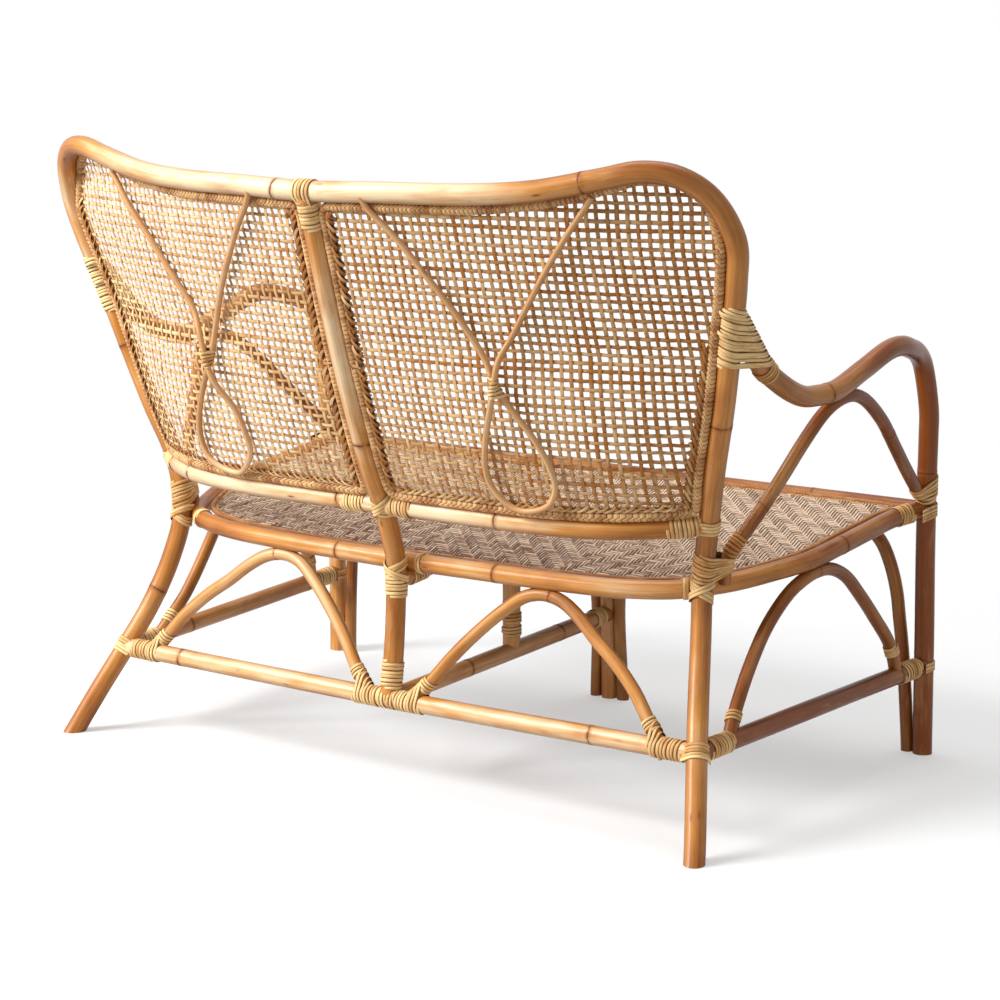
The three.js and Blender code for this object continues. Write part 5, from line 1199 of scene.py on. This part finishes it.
    # Rear middle: turns round stretcher and arch foot, on under the post, and on the arch above.
    stretch = stretch_of("rear_stretcher", x=[side * x for x in CENTRE_COIL])
    parts = [turned(["rear_stretcher", rear_arch], stretch, 8, sense=side)]
    stretch = [stretch[1], where("rear_stretcher", x=0)]
    parts.append(turned(["rear_stretcher"], stretch, 2.5, FRONT, sense=side))
    stretch = stretch_of(rear_arch, x=[side * x for x in CENTRE_ARCH_COIL])
    parts.append(turned([rear_arch], stretch, 3.6, width=NARROW_WIDTH))
    bind("rear_centre", parts, f"_{word}")

    # Side stretcher, arch foot and front leg.
    end = course[bar][1][-1]
    foot = where(side_arch, last=True, z=SIDE_ARCH_FRONT)
    parts = [turned([bar, side_arch], [end - back for back in BAR_FRONT_COIL], 7, outer, sense=-side)]
    parts.append(turned([side_arch], (foot - 16, foot), 3.6, outer, width=NARROW_WIDTH))
    over_leg = [(side, 0, 0), (0, -1, 0), (-side, 0, 0)]
    at = where(arm, last=True, z=SIDE_STRANDS)
    parts += passes(arm, at, over_leg, 3, (22, 18), CLOSE_PITCH, sink=0.08)
    bind("side_front", parts, f"_{word}")

    # Seat hoop, arm arch and front leg: turns on the hoop, strands across, a slanting band above.
    tip = where("seat_hoop", last=side < 0, y=HOOP_TIP_Y)
    parts = [turned(["seat_hoop"], [tip + side * back for back in HOOP_TIP_COIL], 5, outer, sense=side)]
    over_leg = [(side, 0.05, 0), (0, -1, 0), (-side, 0, 0)]
    at = where(arm, last=True, z=SEAT_STRANDS)
    parts += passes(arm, at, over_leg, 4, (36, 18), CLOSE_PITCH, sink=0.05)
    tilt = unit(np.array((0, 0.55, 1)))
    ends = [spot_of(arm, s) for s in stretch_of(arm, last=True, z=SEAT_BAND)]
    parts.append(coil([arm, arm_arch], (ends, [tilt, tilt]), 5.5, outer, sense=side))
    bind("seat_front", parts, f"_{word}")

    # Tie where the loop's strands cross: five turns round both.
    line, length = course[f"back_loop_{word}"]
    half = len(line) // 2
    course[f"loop_rising_{word}"] = (line[:half], length[:half])
    course[f"loop_falling_{word}"] = (line[half:], length[half:] - length[half])
    tied = spot_of(f"back_loop_{word}", where(f"back_loop_{word}", z=TIE_HEIGHT))
    climb = unit(on_back(side * TIE_OUT, 640)[0] - on_back(side * TIE_OUT, 580)[0])
    planes = ([tied - climb * TIE_REACH, tied + climb * TIE_REACH], [climb, climb])
    parts = [coil([f"loop_rising_{word}", f"loop_falling_{word}"], planes, 5, REAR, 4.6, 1.3)]
    bind("tie", parts, f"_{word}")


# The middle front post is bound with its two arches, and five turns go on the stretcher behind it.
# The short post under the seat has two pairs of narrow windings, low and high.
# Painted shade: the bindings under the seat are darker.
painted_side_shade = 0.2
front = ["front_post", "front_arch_left", "front_arch_right"]
parts = [turned(front, stretch_of("front_post", z=(170, 198)), 5)]
parts.append(turned(["middle_stretcher"], (518, 545), 5, UP))
bind("front_post", parts)
SHORT_POST_COILS, SHORT_POST_TURNS = (158, 178, 262, 284), 2.6
parts = []
for z in SHORT_POST_COILS:
    at = where("short_post", z=z)
    parts.append(turned(["short_post"], (at, at + SHORT_POST_TURNS * 5.4), SHORT_POST_TURNS))
bind("short_post", parts)


# The studio: a soft box overhead, a strong one at the rear left and a weak one near the camera, a
# pale floor that takes the shadow, and a white surround, dimmer where it only lights the sofa.
def aimed(name, data, place, aim):
    """A lamp or a camera at a place, turned toward a point, in metres, linked straight into the scene."""
    made = bpy.data.objects.new(name, data)
    made.location = place
    direction = np.array(aim, float) - place
    made.rotation_euler = (math.acos(-direction[2] / np.linalg.norm(direction)), 0,
                           math.atan2(direction[1], direction[0]) - math.pi / 2)
    bpy.context.scene.collection.objects.link(made)
    return made


# Place, the point it shines at, width, height, power in watts.
SOFT_BOXES = {
    "key": ((2.1, 2.3, 2.5), (0.1, 0, 0.5), 1.8, 1.8, 215),
    "fill": ((-3.4, 2.2, 1.6), (0, 0, 0.4), 2.0, 2.0, 14),
    "top": ((0.2, -0.6, 3.6), (0, 0, 0.4), 2.6, 2.0, 60),
}
for name, (place, aim, width, height, power) in SOFT_BOXES.items():
    lamp = bpy.data.lights.new(name, "AREA")
    lamp.shape, lamp.size, lamp.size_y, lamp.energy = "RECTANGLE", width, height, power
    aimed(name, lamp, place, aim)

bpy.ops.mesh.primitive_plane_add(size=9, location=(0, 0, -0.0005))
floor = bpy.context.object
floor.name = "floor"
floor_paint, tree, shader = material("floor_paint", Base_Color=(0.92, 0.92, 0.92, 1), Roughness=0.9,
                                     Specular_IOR_Level=0.2)
place = node(tree, "ShaderNodeTexCoord").outputs["Object"]
far = node(tree, "ShaderNodeVectorMath", {0: place}, {"operation": "LENGTH"}).outputs["Value"]
tree.links.new(ranged(tree, far, 0.85, 1.5, 0.6, 0), shader.inputs["Alpha"])
floor.data.materials.append(floor_paint)

world = bpy.data.worlds.new("studio")
bpy.context.scene.world = world
world.use_nodes = True
tree = world.node_tree
tree.nodes.clear()
seen = tree.nodes.new("ShaderNodeLightPath")
rays = (seen.outputs[f"Is {kind} Ray"] for kind in ("Camera", "Glossy", "Transmission"))
either = reckoned(tree, "MAXIMUM", *rays)
white = node(tree, "ShaderNodeBackground", Color=(1, 1, 1, 1), Strength=1.0)
air = node(tree, "ShaderNodeBackground", Color=(1, 1, 1, 1), Strength=0.3)
mixed = node(tree, "ShaderNodeMixShader", {0: either, 1: air.outputs[0], 2: white.outputs[0]})
node(tree, "ShaderNodeOutputWorld", {0: mixed.outputs[0]})

CAMERA_PLACE, CAMERA_AIM = (-2.3492, 3.2132, 1.1363), (-0.0029, -0.0676, 0.372)
CAMERA_LENS, FILM_WIDTH = 98.4, 36
view = bpy.data.cameras.new("camera")
view.lens, view.sensor_width = CAMERA_LENS, FILM_WIDTH
scene = bpy.context.scene
scene.camera = aimed("camera", view, CAMERA_PLACE, CAMERA_AIM)
scene.view_settings.view_transform = "Standard"
